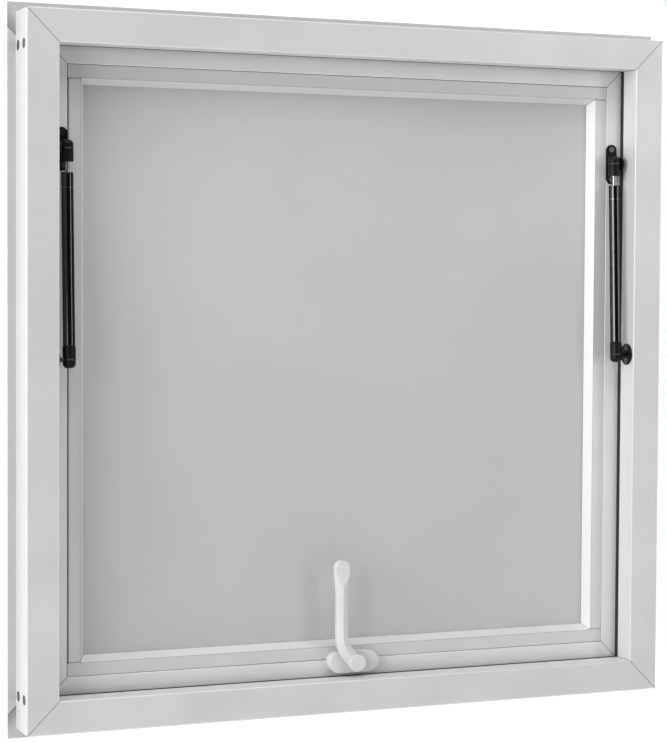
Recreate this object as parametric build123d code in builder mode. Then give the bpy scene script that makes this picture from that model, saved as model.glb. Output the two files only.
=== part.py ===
from build123d import *
import math
import os

# A square top-hung serving window in extruded aluminium. It is built from the
# inside out: the frame, the sash that swings outward from a continuous hinge
# along its head, two gas struts, and a cranked lever that throws a latch tongue.
#
# Lengths are in millimetres. X runs to the right seen from indoors, Z is up and
# Y points outdoors. The origin is the middle of the closed window's box.
# Across a frame member, "inset" is measured inward from the outer face of the
# frame, and "depth" is measured outdoors from the indoor face of the frame.

# ---- Overall sizes -------------------------------------------------------
WIDTH = 892.0            # across the outer faces of the frame
HEIGHT = 892.0           # over the outer faces of the frame

# ---- Frame extrusion -----------------------------------------------------
FRAME_FACE = 41.0        # width of the indoor face
CHAMBER_DEPTH = 33.0     # depth of the hollow chamber
FRAME_WALL = 1.6
LEG_WALL = 1.8           # outer leg that carries the flange
FLANGE_SEAT = 50.0       # depth of the face that lies on the wall
FLANGE_THICK = 2.5
FLANGE_OVERHANG = 11.0
FLANGE_TAB = 30.0        # head and sill flanges turn down the sides by this
GROOVE_WIDTH = 3.0       # seal groove in the back of the chamber
GROOVE_DEPTH = 3.2
GROOVE_SETBACK = 6.5      # groove's outer side, from the inner side of the frame
EDGE_RADIUS = 0.8

# ---- Frame seal ----------------------------------------------------------
SEAL_WIDTH = 8.0
SEAL_WALL = 1.4
SEAL_SLIP = 0.1          # play of its root in the groove
SEAL_CONTACT_GAP = 0.2   # from the face of the closed sash
SEAL_SETBACK = 0.2       # from the inner side of the frame

# ---- Sash extrusion ------------------------------------------------------
SASH_GAP = 5.2           # between the outer leg and the edge of the sash
SEAL_SPACE = 9.0         # between the chamber and the indoor face of the sash
SASH_DEPTH = 20.0
SASH_WALL = 1.5
SASH_REVEAL = 21.5       # sash face that shows inside the frame
LEDGE_DEPTH = 7.5        # ledge that the glazing bead stands on, below the face
LEDGE_WIDTH = 7.5
BEAD_WIDTH = 17.5        # flat of the glazing bead
BEAD_RUN = 7.4           # slope of the glazing bead, towards the panel
BEAD_WALL = 1.3
BEAD_GAP = 0.7           # groove between a bead and its sash member
BEAD_BUTT_GAP = 0.2      # side bead, short of the head and sill beads
SLOPE_EXTRA_WALL = 0.1
CUT_MARGIN = 2.0         # by which a cut runs past the material
PANEL_THICK = 4.0
GASKET_THICK = 0.5
PANEL_EDGE_GAP = 2.0

# ---- Corner joints -------------------------------------------------------
KEY_CLEARANCE = 0.3
FRAME_KEY_REACH = 29.0   # legs past the inner corner of the frame
SASH_KEY_REACH = 27.5    # legs past the inner corner of the sash face
KEY_HOLE_RADIUS = 6.0
KEY_HOLE_SETBACK = 14.0  # from the end of a sash key's leg
ANGLE_LEG = 58.0
ANGLE_THICK = 3.0
ANGLE_WIDTH = 13.0
CORNER_SCREW_SETBACK = 43.0
CORNER_SCREW_DEPTHS = (14.0, 41.5)
CORNER_SCREW_HEAD = 4.6
CORNER_SCREW_SHANK = 2.1
CORNER_SCREW_LENGTH = 12.0
ANGLE_SCREW_LENGTH = 4.6

# ---- Continuous head hinge -----------------------------------------------
HINGE_INSET = 0.8
HINGE_LEAF = 1.5
HINGE_BEAD_RADIUS = 3.0
HINGE_PLAY = 0.3
HINGE_SOCKET_WALL = 1.9
HINGE_NECK = 2.0
HINGE_LEAF_REACH = 9.8   # frame leaf, from the outer leg out over the flange
SASH_LEAF_WIDTH = 17.0
OPENING_ANGLE = 85.0
MOUTH_SPARE = 8.0        # degrees cleared past the swing, each way
HINGE_RIVETS = 7
RIVET_HEAD = 3.2
RIVET_SHANK = 1.6

# ---- Gas struts ----------------------------------------------------------
STRUT_CLEARANCE = 17.2   # strut axis, from the inner side of the frame
UPPER_BALL_DEPTH = 28.0
UPPER_BALL_DROP = 167.6  # below the hinge axis
LOWER_BALL_DEPTH = 17.2
LOWER_BALL_DROP = 261.0  # below the upper ball
BALL_RADIUS = 5.0
NECK_RADIUS = 3.0
SOCKET_RADIUS = 8.2
SOCKET_SHAFT_END = 16.5  # from the ball centre to the end that takes the shaft
SOCKET_FREE_END = 10.8
SOCKET_ROUNDING = 6.0
SOCKET_MOUTH_PLAY = 1.3  # round the neck of the stud
SOCKET_WEB = 1.2         # between the ball and the bore for the shaft
THREAD_GAP = 0.5         # left at the bottom of that bore
BALL_PLAY = 0.2
CLIP_WIRE = 0.7
CLIP_PLAY = 0.05
CLIP_MOUTH = 100.0       # degrees of the ring left open for the neck
TUBE_RADIUS = 7.5
TUBE_WALL = 1.2
TUBE_LENGTH = 215.0
TUBE_END = 3.0
TUBE_LIP = 1.5
TUBE_ROUNDING = 1.0
CRIMP_DROP = 18.0        # crimped ring, below the top of the tube
CRIMP_WIDTH = 1.2
CRIMP_DEPTH = 0.4
ROD_RADIUS = 3.0
ROD_PLAY = 0.05
LIP_PLAY = 0.5
PISTON_PLAY = 0.1
STOP_CLEARANCE = 1.4     # piston to guide when the window is fully open
GUIDE_LENGTH = 16.0
PISTON_LENGTH = 8.0
PLATE_THICK = 2.0
PLATE_CHAMFER = 0.6
OPEN_PIVOT_GAP = 0.3     # the lower ball stud stops this far off its plate
UPPER_PLATE_HEIGHT = 54.0
UPPER_PLATE_WIDTH = 15.5
BRACKET_PAST_AXIS = 4.8   # inner edge of the plate past the strut axis
EAR_RADIUS = 9.5
STUD_HEAD_RIM = 1.5
STUD_HEAD_THICK = 1.2
LOWER_PLATE_RADIUS = 14.4
PLATE_SCREW_PITCH = 18.4
BRACKET_SCREW_PITCH = 41.0
PLATE_SCREW_HEAD = 3.8
PLATE_SCREW_SHANK = 1.8
PLATE_SCREW_LENGTH = 9.0

# ---- Lever handle and latch ----------------------------------------------
HANDLE_X = 4.0
HANDLE_CLEARANCE = 19.0  # spindle axis, above the frame's bottom rail
ROSETTE_LENGTH = 70.0
ROSETTE_WIDTH = 29.0
ROSETTE_HEIGHT = 13.0
ROSETTE_WALL = 1.6
ROSETTE_ROUNDING = 1.2
BASE_INSET = 2.2
BASE_THICK = 3.0
BASE_SCREW_PITCH = 44.0
LEVER_STANDOFF = 1.5
LEVER_THICK = 11.5
LEVER_NECK = 6.5
LEVER_CHAMFER = 2.4
NECK_TO_BASE = 1.0       # end of the neck, short of the sash face
SPINDLE_SINK = 7.0       # spindle into the lever
SPINDLE = 7.0
SPINDLE_HOLE = 8.6
SHAFT_PLAY = 0.2
TONGUE_THICK = 3.0
TONGUE_HUB = 8.0
TONGUE_WIDTH = 12.5
TONGUE_OFFSET = 0.5
TONGUE_SETBACK = 1.5     # tongue behind the inner side of the face wall
TONGUE_SCREW_HEAD = 6.0
TONGUE_SCREW_HEIGHT = 1.1
TONGUE_SCREW_SHANK = 1.7
TONGUE_SCREW_LENGTH = 7.0
KEEPER_BASE = 1.5
KEEPER_LIP = 2.6
KEEPER_LENGTH = 44.0
KEEPER_REACH = 4.6       # height of the lip above the outer leg
KEEPER_MARGIN = 6.0      # screws, from the ends of the keeper
KEEPER_EDGE = 4.5        # screws, from the indoor edge of the keeper
KEEPER_SCREW_SETBACK = 3.0
KEEPER_SCREW_HEAD = 2.9
KEEPER_SCREW_SHANK = 1.5
SLOT_MARGIN = 1.0        # round the tongue's sweep
SPINDLE_SCREW_SPARE = 1.0
LATCH_PLAY = 0.3

# ---- Derived places ------------------------------------------------------
HINGE_SOCKET_INNER = HINGE_BEAD_RADIUS + HINGE_PLAY
HINGE_SOCKET_OUTER = HINGE_SOCKET_INNER + HINGE_SOCKET_WALL
FLANGE_BACK = FLANGE_SEAT + FLANGE_THICK
HINGE_DEPTH = FLANGE_BACK + HINGE_LEAF + HINGE_PLAY + HINGE_SOCKET_OUTER
TOTAL_DEPTH = HINGE_DEPTH + HINGE_SOCKET_OUTER
INDOOR_Y = -TOTAL_DEPTH / 2
GROOVE_INSET = FRAME_FACE - GROOVE_SETBACK
FRAME_KEY_LEG = FRAME_FACE + FRAME_KEY_REACH
SEAL_INNER_SIDE = FRAME_FACE - SEAL_SETBACK
SEAL_OUTER_SIDE = SEAL_INNER_SIDE - SEAL_WIDTH
STRUT_INSET = FRAME_FACE + STRUT_CLEARANCE
HANDLE_RISE = FRAME_FACE + HANDLE_CLEARANCE
SASH_EDGE = LEG_WALL + SASH_GAP
SASH_FACE = CHAMBER_DEPTH + SEAL_SPACE
SASH_BACK = SASH_FACE + SASH_DEPTH
SASH_INNER = FRAME_FACE + SASH_REVEAL
SASH_KEY_LEG = SASH_INNER + SASH_KEY_REACH
LEDGE_FACE = SASH_FACE + LEDGE_DEPTH
REBATE_EDGE = SASH_INNER + LEDGE_WIDTH
BEAD_INNER = SASH_INNER + BEAD_WIDTH
PANEL_BACK = SASH_BACK - SASH_WALL - GASKET_THICK
PANEL_FACE = PANEL_BACK - PANEL_THICK
PANEL_EDGE = REBATE_EDGE + PANEL_EDGE_GAP
HINGE_Z = HEIGHT / 2 - HINGE_INSET
UPPER_BALL_Z = HINGE_Z - UPPER_BALL_DROP
LOWER_BALL_Z = UPPER_BALL_Z - LOWER_BALL_DROP
STRUT_X = WIDTH / 2 - STRUT_INSET
SPINDLE_Z = HANDLE_RISE - HEIGHT / 2
BRACKET_OUTER = STRUT_INSET - UPPER_PLATE_WIDTH + BRACKET_PAST_AXIS
BRACKET_MIDDLE = BRACKET_OUTER + UPPER_PLATE_WIDTH / 2
FRAME_RIVET_INSET = LEG_WALL - HINGE_LEAF_REACH / 2 - HINGE_NECK
SASH_RIVET_INSET = SASH_EDGE + SASH_LEAF_WIDTH * 0.55
TONGUE_FACE = SASH_FACE + SASH_WALL + TONGUE_SETBACK
TONGUE_BACK = TONGUE_FACE + TONGUE_THICK
TONGUE_REACH = HANDLE_RISE - LEG_WALL - KEEPER_BASE - LATCH_PLAY
KEEPER_X = HANDLE_X - TONGUE_OFFSET - TONGUE_WIDTH / 2
KEEPER_SCREW_DEPTH = SASH_FACE - KEEPER_SCREW_SETBACK
SINK_ANGLE = 90

os.makedirs("parts", exist_ok=True)


def depth(value):
    """Y of a point at this depth behind the indoor face."""
    return INDOOR_Y + value


def finish(piece, name):
    """Label a finished piece and write it."""
    piece.part.label = name
    export_step(piece.part, f"parts/{name}.step")


# Each side of the frame: where its members start, the way they run, the way
# inward, and the length over the outer faces.
SIDES = {
    "top": ((-WIDTH / 2, HEIGHT / 2), (1, 0, 0), (0, 0, -1), WIDTH),
    "bottom": ((WIDTH / 2, -HEIGHT / 2), (-1, 0, 0), (0, 0, 1), WIDTH),
    "left": ((-WIDTH / 2, -HEIGHT / 2), (0, 0, 1), (1, 0, 0), HEIGHT),
    "right": ((WIDTH / 2, HEIGHT / 2), (0, 0, -1), (-1, 0, 0), HEIGHT),
}
CORNERS = [(-1, 1), (1, 1), (-1, -1), (1, -1)]


def section_plane(side, start):
    """Plane across a side's members: local x is inset, local y is depth."""
    corner, along, inward, _ = SIDES[side]
    origin = Vector(corner[0], INDOOR_Y, corner[1]) + Vector(along) * start
    return Plane(origin=origin, x_dir=inward, z_dir=along)


def plan_plane(side, at_depth=0.0):
    """Plane along a side's members: local x runs along, local y is inset."""
    corner, along, _, _ = SIDES[side]
    origin = (corner[0], depth(at_depth), corner[1])
    return Plane(origin=origin, x_dir=along, z_dir=(0, 1, 0))


def member(side, outline, hollow, plan, soft_corners=()):
    """One extruded member: its section, run along the side and cut to plan."""
    length = SIDES[side][3]
    with BuildPart() as piece:
        with BuildSketch(section_plane(side, -FLANGE_OVERHANG)) as section:
            with BuildLine():
                Polyline(*outline, close=True)
            make_face()
            for corner in soft_corners:
                fillet(section.vertices().sort_by_distance(corner)[0], EDGE_RADIUS)
            if hollow:
                with BuildLine():
                    Polyline(*hollow, close=True)
                make_face(mode=Mode.SUBTRACT)
        extrude(amount=length + 2 * FLANGE_OVERHANG)
        with BuildSketch(plan_plane(side)):
            with BuildLine():
                Polyline(*plan, close=True)
            make_face()
        extrude(amount=TOTAL_DEPTH, mode=Mode.INTERSECT)
    return piece


def mitred_plan(length, low, high):
    """Plan of a member that is mitred at both ends, between two insets."""
    return [(low, low), (length - low, low), (length - high, high), (high, high)]


def add_screws(places, head, shank, length):
    """Countersunk cross-drive screws, heads flush with each place's plane."""
    head_height = head - shank
    drive_depth = head_height * 0.6
    for place in places:
        with Locations(place):
            Cone(shank, head, head_height, align=(Align.CENTER, Align.CENTER, Align.MAX))
            Cylinder(shank, length, align=(Align.CENTER, Align.CENTER, Align.MAX))
            for turn in (0, 90):
                Box(head * 0.9, head * 0.2, drive_depth, rotation=(0, 0, turn),
                    align=(Align.CENTER, Align.CENTER, Align.MAX), mode=Mode.SUBTRACT)


def sink_holes(places, head, shank, length):
    """Countersunk holes for those screws."""
    for place in places:
        with Locations(place):
            CounterSinkHole(shank, head, length, SINK_ANGLE)


# ---- Fastener places -----------------------------------------------------

def corner_screw_places(at_depth):
    """Screws through the outer faces of the two stiles, near each corner."""
    places = []
    for across, up in CORNERS:
        origin = (across * WIDTH / 2, depth(at_depth), up * (HEIGHT / 2 - CORNER_SCREW_SETBACK))
        places.append(Plane(origin=origin, z_dir=(across, 0, 0)).location)
    return places


def lower_plate_places():
    """Screws of the two lower strut plates, on the returns of the stiles."""
    places = []
    for across in (-1, 1):
        for step in (-0.5, 0.5):
            origin = (across * (WIDTH / 2 - FRAME_FACE - PLATE_THICK), depth(LOWER_BALL_DEPTH),
                      LOWER_BALL_Z + step * PLATE_SCREW_PITCH)
            places.append(Plane(origin=origin, z_dir=(-across, 0, 0)).location)
    return places


def bracket_places():
    """Screws of the two upper strut brackets, on the faces of the sash stiles."""
    places = []
    for across in (-1, 1):
        for step in (-0.5, 0.5):
            origin = (across * (WIDTH / 2 - BRACKET_MIDDLE), depth(SASH_FACE - PLATE_THICK),
                      UPPER_BALL_Z + step * BRACKET_SCREW_PITCH)
            places.append(Plane(origin=origin, z_dir=(0, -1, 0)).location)
    return places


def rivet_places(inset, at_depth):
    """A row of rivets along the head of the window."""
    pitch = WIDTH / HINGE_RIVETS
    places = []
    for index in range(HINGE_RIVETS):
        x = (index - (HINGE_RIVETS - 1) / 2) * pitch
        origin = (x, depth(at_depth), HEIGHT / 2 - inset)
        places.append(Plane(origin=origin, z_dir=(0, 1, 0)).location)
    return places


def base_screw_places():
    """The two screws that hold the rosette base to the sash."""
    places = []
    for step in (-0.5, 0.5):
        origin = (HANDLE_X + step * BASE_SCREW_PITCH, depth(SASH_FACE - BASE_THICK), SPINDLE_Z)
        places.append(Plane(origin=origin, z_dir=(0, -1, 0)).location)
    return places


def keeper_screw_places():
    """The two screws that hold the keeper to the outer leg of the sill."""
    places = []
    for step in (-0.5, 0.5):
        origin = (KEEPER_X + step * (KEEPER_LENGTH - 2 * KEEPER_MARGIN), depth(KEEPER_SCREW_DEPTH),
                  -HEIGHT / 2 + LEG_WALL + KEEPER_BASE)
        places.append(Plane(origin=origin, z_dir=(0, 0, 1)).location)
    return places


spindle_plane = Plane(origin=(HANDLE_X, depth(0), SPINDLE_Z), x_dir=(1, 0, 0), z_dir=(0, -1, 0))


def facing_plane(at_depth):
    """Plane at the spindle, facing indoors: local x is right, local y is up."""
    return spindle_plane.offset(-at_depth)


# ---- Frame members -------------------------------------------------------
boss = GROOVE_DEPTH + FRAME_WALL
frame_outline = [
    (0, 0),
    (FRAME_FACE, 0),
    (FRAME_FACE, CHAMBER_DEPTH),
    (GROOVE_INSET + GROOVE_WIDTH, CHAMBER_DEPTH),
    (GROOVE_INSET + GROOVE_WIDTH, CHAMBER_DEPTH - GROOVE_DEPTH),
    (GROOVE_INSET, CHAMBER_DEPTH - GROOVE_DEPTH),
    (GROOVE_INSET, CHAMBER_DEPTH),
    (LEG_WALL, CHAMBER_DEPTH),
    (LEG_WALL, FLANGE_BACK),
    (-FLANGE_OVERHANG, FLANGE_BACK),
    (-FLANGE_OVERHANG, FLANGE_SEAT),
    (0, FLANGE_SEAT),
]
frame_hollow = [
    (FRAME_WALL, FRAME_WALL),
    (FRAME_FACE - FRAME_WALL, FRAME_WALL),
    (FRAME_FACE - FRAME_WALL, CHAMBER_DEPTH - boss),
    (GROOVE_INSET - FRAME_WALL, CHAMBER_DEPTH - boss),
    (GROOVE_INSET - FRAME_WALL, CHAMBER_DEPTH - FRAME_WALL),
    (FRAME_WALL, CHAMBER_DEPTH - FRAME_WALL),
]
frame_edges = [(0, 0), (FRAME_FACE, 0)]

for side in ("top", "bottom"):
    run = SIDES[side][3]
    plan = mitred_plan(run, -FLANGE_OVERHANG, FRAME_FACE)
    blank = member(side, frame_outline, frame_hollow, plan, frame_edges)
    with BuildPart() as rail:
        add(blank.part)
        # The flange turns each corner and laps the legs of the stiles.
        for end, away in ((0, 1), (run, -1)):
            tab = [
                (end - away * FLANGE_OVERHANG, -FLANGE_OVERHANG),
                (end + away * LEG_WALL, LEG_WALL),
                (end + away * LEG_WALL, FLANGE_TAB + LEG_WALL),
                (end - away * FLANGE_OVERHANG, FLANGE_TAB - FLANGE_OVERHANG),
            ]
            with BuildSketch(plan_plane(side, FLANGE_SEAT)):
                with BuildLine():
                    Polyline(*tab, close=True)
                make_face()
            extrude(amount=FLANGE_THICK)
        if side == "top":
            sink_holes(rivet_places(FRAME_RIVET_INSET, FLANGE_BACK + HINGE_LEAF),
                       RIVET_HEAD, RIVET_SHANK, HINGE_LEAF + FLANGE_THICK)
        else:
            sink_holes(keeper_screw_places(), KEEPER_SCREW_HEAD, KEEPER_SCREW_SHANK,
                       KEEPER_BASE + LEG_WALL)
    finish(rail, f"frame_{side}_rail")

for side in ("left", "right"):
    run = SIDES[side][3]
    tab_end = FLANGE_TAB - FLANGE_OVERHANG
    plan = [
        (tab_end, -FLANGE_OVERHANG),
        (run - tab_end, -FLANGE_OVERHANG),
        (run - FLANGE_TAB, 0),
        (run, 0),
        (run - FRAME_FACE, FRAME_FACE),
        (FRAME_FACE, FRAME_FACE),
        (0, 0),
        (FLANGE_TAB, 0),
    ]
    blank = member(side, frame_outline, frame_hollow, plan, frame_edges)
    with BuildPart() as stile:
        add(blank.part)
        for end, away in ((0, 1), (run, -1)):
            lap = [
                (end, 0),
                (end + away * FLANGE_TAB, 0),
                (end + away * (FLANGE_TAB + LEG_WALL), LEG_WALL),
                (end + away * LEG_WALL, LEG_WALL),
            ]
            with BuildSketch(plan_plane(side, FLANGE_SEAT)):
                with BuildLine():
                    Polyline(*lap, close=True)
                make_face()
            extrude(amount=FLANGE_THICK, mode=Mode.SUBTRACT)
        across = -1 if side == "left" else 1
        own_side = [p for at in CORNER_SCREW_DEPTHS for p in corner_screw_places(at)
                    if p.position.X * across > 0]
        sink_holes(own_side, CORNER_SCREW_HEAD, CORNER_SCREW_SHANK, FRAME_WALL + EDGE_RADIUS)
        own_plate = [p for p in lower_plate_places() if p.position.X * across > 0]
        sink_holes(own_plate, PLATE_SCREW_HEAD, PLATE_SCREW_SHANK, PLATE_THICK + FRAME_WALL)
    finish(stile, f"frame_{side}_stile")


# ---- Corner joints -------------------------------------------------------

def corner_plane(across, up, at_depth):
    """Plane at a frame corner: local x and y both run inward."""
    origin = (across * WIDTH / 2, depth(at_depth), up * HEIGHT / 2)
    normal = (0, -across * up, 0)
    return Plane(origin=origin, x_dir=(-across, 0, 0), z_dir=normal)


def corner_pieces(low, high, leg, near, far):
    """Four L-shaped pieces, one in each corner, between two insets."""
    with BuildPart() as pieces:
        for across, up in CORNERS:
            start = near if across * up < 0 else far
            with BuildSketch(corner_plane(across, up, start)):
                with BuildLine():
                    Polyline((low, low), (leg, low), (leg, high), (high, high), (high, leg),
                             (low, leg), close=True)
                make_face()
            extrude(amount=far - near)
    return pieces.part


key_low = FRAME_WALL + KEY_CLEARANCE
key_high = FRAME_FACE - FRAME_WALL - KEY_CLEARANCE
with BuildPart() as frame_corner_keys:
    add(corner_pieces(key_low, key_high, FRAME_KEY_LEG, key_low,
                      CHAMBER_DEPTH - boss - KEY_CLEARANCE))
    sink_holes(corner_screw_places(CORNER_SCREW_DEPTHS[0]), CORNER_SCREW_HEAD,
               CORNER_SCREW_SHANK, CORNER_SCREW_LENGTH)
finish(frame_corner_keys, "frame_corner_keys")

with BuildPart() as frame_corner_angles:
    middle = CORNER_SCREW_DEPTHS[1]
    add(corner_pieces(LEG_WALL, LEG_WALL + ANGLE_THICK, ANGLE_LEG, middle - ANGLE_WIDTH / 2,
                      middle + ANGLE_WIDTH / 2))
    sink_holes(corner_screw_places(middle), CORNER_SCREW_HEAD, CORNER_SCREW_SHANK,
               LEG_WALL + ANGLE_THICK)
finish(frame_corner_angles, "frame_corner_angles")

with BuildPart() as frame_corner_screws:
    add_screws(corner_screw_places(CORNER_SCREW_DEPTHS[0]), CORNER_SCREW_HEAD,
               CORNER_SCREW_SHANK, CORNER_SCREW_LENGTH)
    add_screws(corner_screw_places(CORNER_SCREW_DEPTHS[1]), CORNER_SCREW_HEAD,
               CORNER_SCREW_SHANK, ANGLE_SCREW_LENGTH)
finish(frame_corner_screws, "frame_corner_screws")

sash_key_low = SASH_EDGE + SASH_WALL + KEY_CLEARANCE
sash_key_high = SASH_INNER - SASH_WALL - KEY_CLEARANCE
key_hole_far = SASH_KEY_LEG - KEY_HOLE_SETBACK
key_hole_near = (sash_key_low + sash_key_high) / 2
with BuildPart() as sash_corner_keys:
    add(corner_pieces(sash_key_low, sash_key_high, SASH_KEY_LEG,
                      SASH_FACE + SASH_WALL + KEY_CLEARANCE,
                      SASH_BACK - SASH_WALL - KEY_CLEARANCE))
    for across, up in CORNERS:
        for along, inset in ((key_hole_far, key_hole_near), (key_hole_near, key_hole_far)):
            with BuildSketch(corner_plane(across, up, SASH_FACE)):
                with Locations((along, inset)):
                    Circle(KEY_HOLE_RADIUS)
            extrude(amount=SASH_DEPTH, both=True, mode=Mode.SUBTRACT)
finish(sash_corner_keys, "sash_corner_keys")

# ---- Frame seal ----------------------------------------------------------
seal_outline = [
    (GROOVE_INSET + SEAL_SLIP, CHAMBER_DEPTH - GROOVE_DEPTH + SEAL_SLIP),
    (GROOVE_INSET + GROOVE_WIDTH - SEAL_SLIP, CHAMBER_DEPTH - GROOVE_DEPTH + SEAL_SLIP),
    (GROOVE_INSET + GROOVE_WIDTH - SEAL_SLIP, CHAMBER_DEPTH),
    (SEAL_INNER_SIDE, CHAMBER_DEPTH),
    (SEAL_INNER_SIDE, SASH_FACE - SEAL_CONTACT_GAP),
    (SEAL_OUTER_SIDE, SASH_FACE - SEAL_CONTACT_GAP),
    (SEAL_OUTER_SIDE, CHAMBER_DEPTH),
    (GROOVE_INSET + SEAL_SLIP, CHAMBER_DEPTH),
]
seal_hollow = [
    (SEAL_INNER_SIDE - SEAL_WALL, CHAMBER_DEPTH + SEAL_WALL),
    (SEAL_INNER_SIDE - SEAL_WALL, SASH_FACE - SEAL_CONTACT_GAP - SEAL_WALL),
    (SEAL_OUTER_SIDE + SEAL_WALL, SASH_FACE - SEAL_CONTACT_GAP - SEAL_WALL),
    (SEAL_OUTER_SIDE + SEAL_WALL, CHAMBER_DEPTH + SEAL_WALL),
]
with BuildPart() as frame_seal:
    for side, (_, _, _, run) in SIDES.items():
        strip = member(side, seal_outline, seal_hollow, mitred_plan(run, 0, FRAME_FACE))
        add(strip.part)
finish(frame_seal, "frame_seal")

# ---- Sash members --------------------------------------------------------
sash_outline = [
    (SASH_EDGE, SASH_FACE),
    (SASH_INNER, SASH_FACE),
    (SASH_INNER, LEDGE_FACE),
    (REBATE_EDGE, LEDGE_FACE),
    (REBATE_EDGE, SASH_BACK - SASH_WALL),
    (BEAD_INNER, SASH_BACK - SASH_WALL),
    (BEAD_INNER, SASH_BACK),
    (SASH_EDGE, SASH_BACK),
]
sash_hollow = [
    (SASH_EDGE + SASH_WALL, SASH_FACE + SASH_WALL),
    (SASH_INNER - SASH_WALL, SASH_FACE + SASH_WALL),
    (SASH_INNER - SASH_WALL, LEDGE_FACE + SASH_WALL),
    (REBATE_EDGE - SASH_WALL, LEDGE_FACE + SASH_WALL),
    (REBATE_EDGE - SASH_WALL, SASH_BACK - SASH_WALL),
    (SASH_EDGE + SASH_WALL, SASH_BACK - SASH_WALL),
]
sash_edges = [(SASH_EDGE, SASH_BACK), (SASH_INNER, SASH_FACE)]
names = {"top": "rail", "bottom": "rail", "left": "stile", "right": "stile"}

for side, (_, _, _, run) in SIDES.items():
    plan = mitred_plan(run, SASH_EDGE, BEAD_INNER)
    blank = member(side, sash_outline, sash_hollow, plan, sash_edges)
    with BuildPart() as sash_member:
        add(blank.part)
        if side == "top":
            sink_holes(rivet_places(SASH_RIVET_INSET, SASH_BACK + HINGE_LEAF), RIVET_HEAD,
                       RIVET_SHANK, HINGE_LEAF + SASH_WALL)
        elif side == "bottom":
            # Room for the spindle and the hub of the tongue.
            with BuildSketch(facing_plane(SASH_FACE)):
                Circle(SPINDLE_HOLE)
            extrude(amount=-LEDGE_DEPTH, mode=Mode.SUBTRACT)
            # Slot that the tongue swings down through.
            slot_right = math.sqrt(TONGUE_REACH ** 2 - (HANDLE_RISE - SASH_EDGE - SASH_WALL) ** 2)
            slot_left = TONGUE_WIDTH + TONGUE_OFFSET
            slot_middle = HANDLE_X + (slot_right - slot_left) / 2
            with Locations((slot_middle, depth((TONGUE_FACE + TONGUE_BACK) / 2),
                            SASH_EDGE - HEIGHT / 2)):
                Box(slot_right + slot_left + 2 * SLOT_MARGIN, TONGUE_THICK + 2 * LATCH_PLAY, 4 * SASH_WALL,
                    mode=Mode.SUBTRACT)
            sink_holes(base_screw_places(), PLATE_SCREW_HEAD, PLATE_SCREW_SHANK,
                       BASE_THICK + SASH_WALL)
        else:
            across = -1 if side == "left" else 1
            own = [p for p in bracket_places() if p.position.X * across > 0]
            sink_holes(own, PLATE_SCREW_HEAD, PLATE_SCREW_SHANK, PLATE_THICK + SASH_WALL)
    finish(sash_member, f"sash_{side}_{names[side]}")

# ---- Glazing beads, panel and gaskets ------------------------------------
bead_start = SASH_INNER + BEAD_GAP
bead_toe = BEAD_INNER + BEAD_RUN
bead_seat = PANEL_FACE - GASKET_THICK
slope_wall = BEAD_WALL + SLOPE_EXTRA_WALL
bead_outline = [
    (bead_start, SASH_FACE),
    (BEAD_INNER, SASH_FACE),
    (bead_toe, bead_seat),
    (bead_toe - slope_wall, bead_seat),
    (BEAD_INNER - slope_wall / 2, SASH_FACE + BEAD_WALL),
    (bead_start + BEAD_WALL, SASH_FACE + BEAD_WALL),
    (bead_start + BEAD_WALL, LEDGE_FACE),
    (bead_start, LEDGE_FACE),
]

for side, (_, _, _, run) in SIDES.items():
    slope = [(run - BEAD_INNER, BEAD_INNER), (run - bead_toe - CUT_MARGIN, bead_toe + CUT_MARGIN),
             (bead_toe + CUT_MARGIN, bead_toe + CUT_MARGIN), (BEAD_INNER, BEAD_INNER)]
    end = bead_start if side in ("top", "bottom") else BEAD_INNER + BEAD_BUTT_GAP
    flat = [(end, SASH_INNER), (run - end, SASH_INNER), (run - end, BEAD_INNER)]
    plan = flat + slope + [(end, BEAD_INNER)]
    blank = member(side, bead_outline, None, plan)
    with BuildPart() as bead:
        add(blank.part)
        if side == "bottom":
            with BuildSketch(facing_plane(SASH_FACE)):
                Circle(SPINDLE_HOLE)
            extrude(amount=-LEDGE_DEPTH, mode=Mode.SUBTRACT)
            sink_holes(base_screw_places(), PLATE_SCREW_HEAD, PLATE_SCREW_SHANK,
                       BASE_THICK + LEDGE_DEPTH)
    finish(bead, f"{side}_glazing_bead")

with BuildPart() as panel:
    with BuildSketch(Plane(origin=(0, depth(PANEL_FACE), 0), x_dir=(1, 0, 0), z_dir=(0, -1, 0))):
        Rectangle(WIDTH - 2 * PANEL_EDGE, HEIGHT - 2 * PANEL_EDGE)
    extrude(amount=-PANEL_THICK)
finish(panel, "infill_panel")


def gasket_strips(low, high, near):
    """Four thin mitred strips between two insets."""
    with BuildPart() as strips:
        for side, (_, _, _, run) in SIDES.items():
            with BuildSketch(plan_plane(side, near)):
                with BuildLine():
                    Polyline(*mitred_plan(run, low, high), close=True)
                make_face()
            extrude(amount=GASKET_THICK)
    return strips.part


with BuildPart() as bead_gaskets:
    add(gasket_strips(bead_toe - 2 * slope_wall, bead_toe, bead_seat))
finish(bead_gaskets, "bead_gaskets")

with BuildPart() as panel_tape:
    add(gasket_strips(PANEL_EDGE, BEAD_INNER, PANEL_BACK))
finish(panel_tape, "panel_tape")

# ---- Continuous head hinge -----------------------------------------------
hinge_length = WIDTH - 2 * SASH_EDGE
hinge_start = SASH_EDGE
neck_half_angle = math.degrees(math.asin(HINGE_NECK / 2 / HINGE_BEAD_RADIUS))

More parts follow.
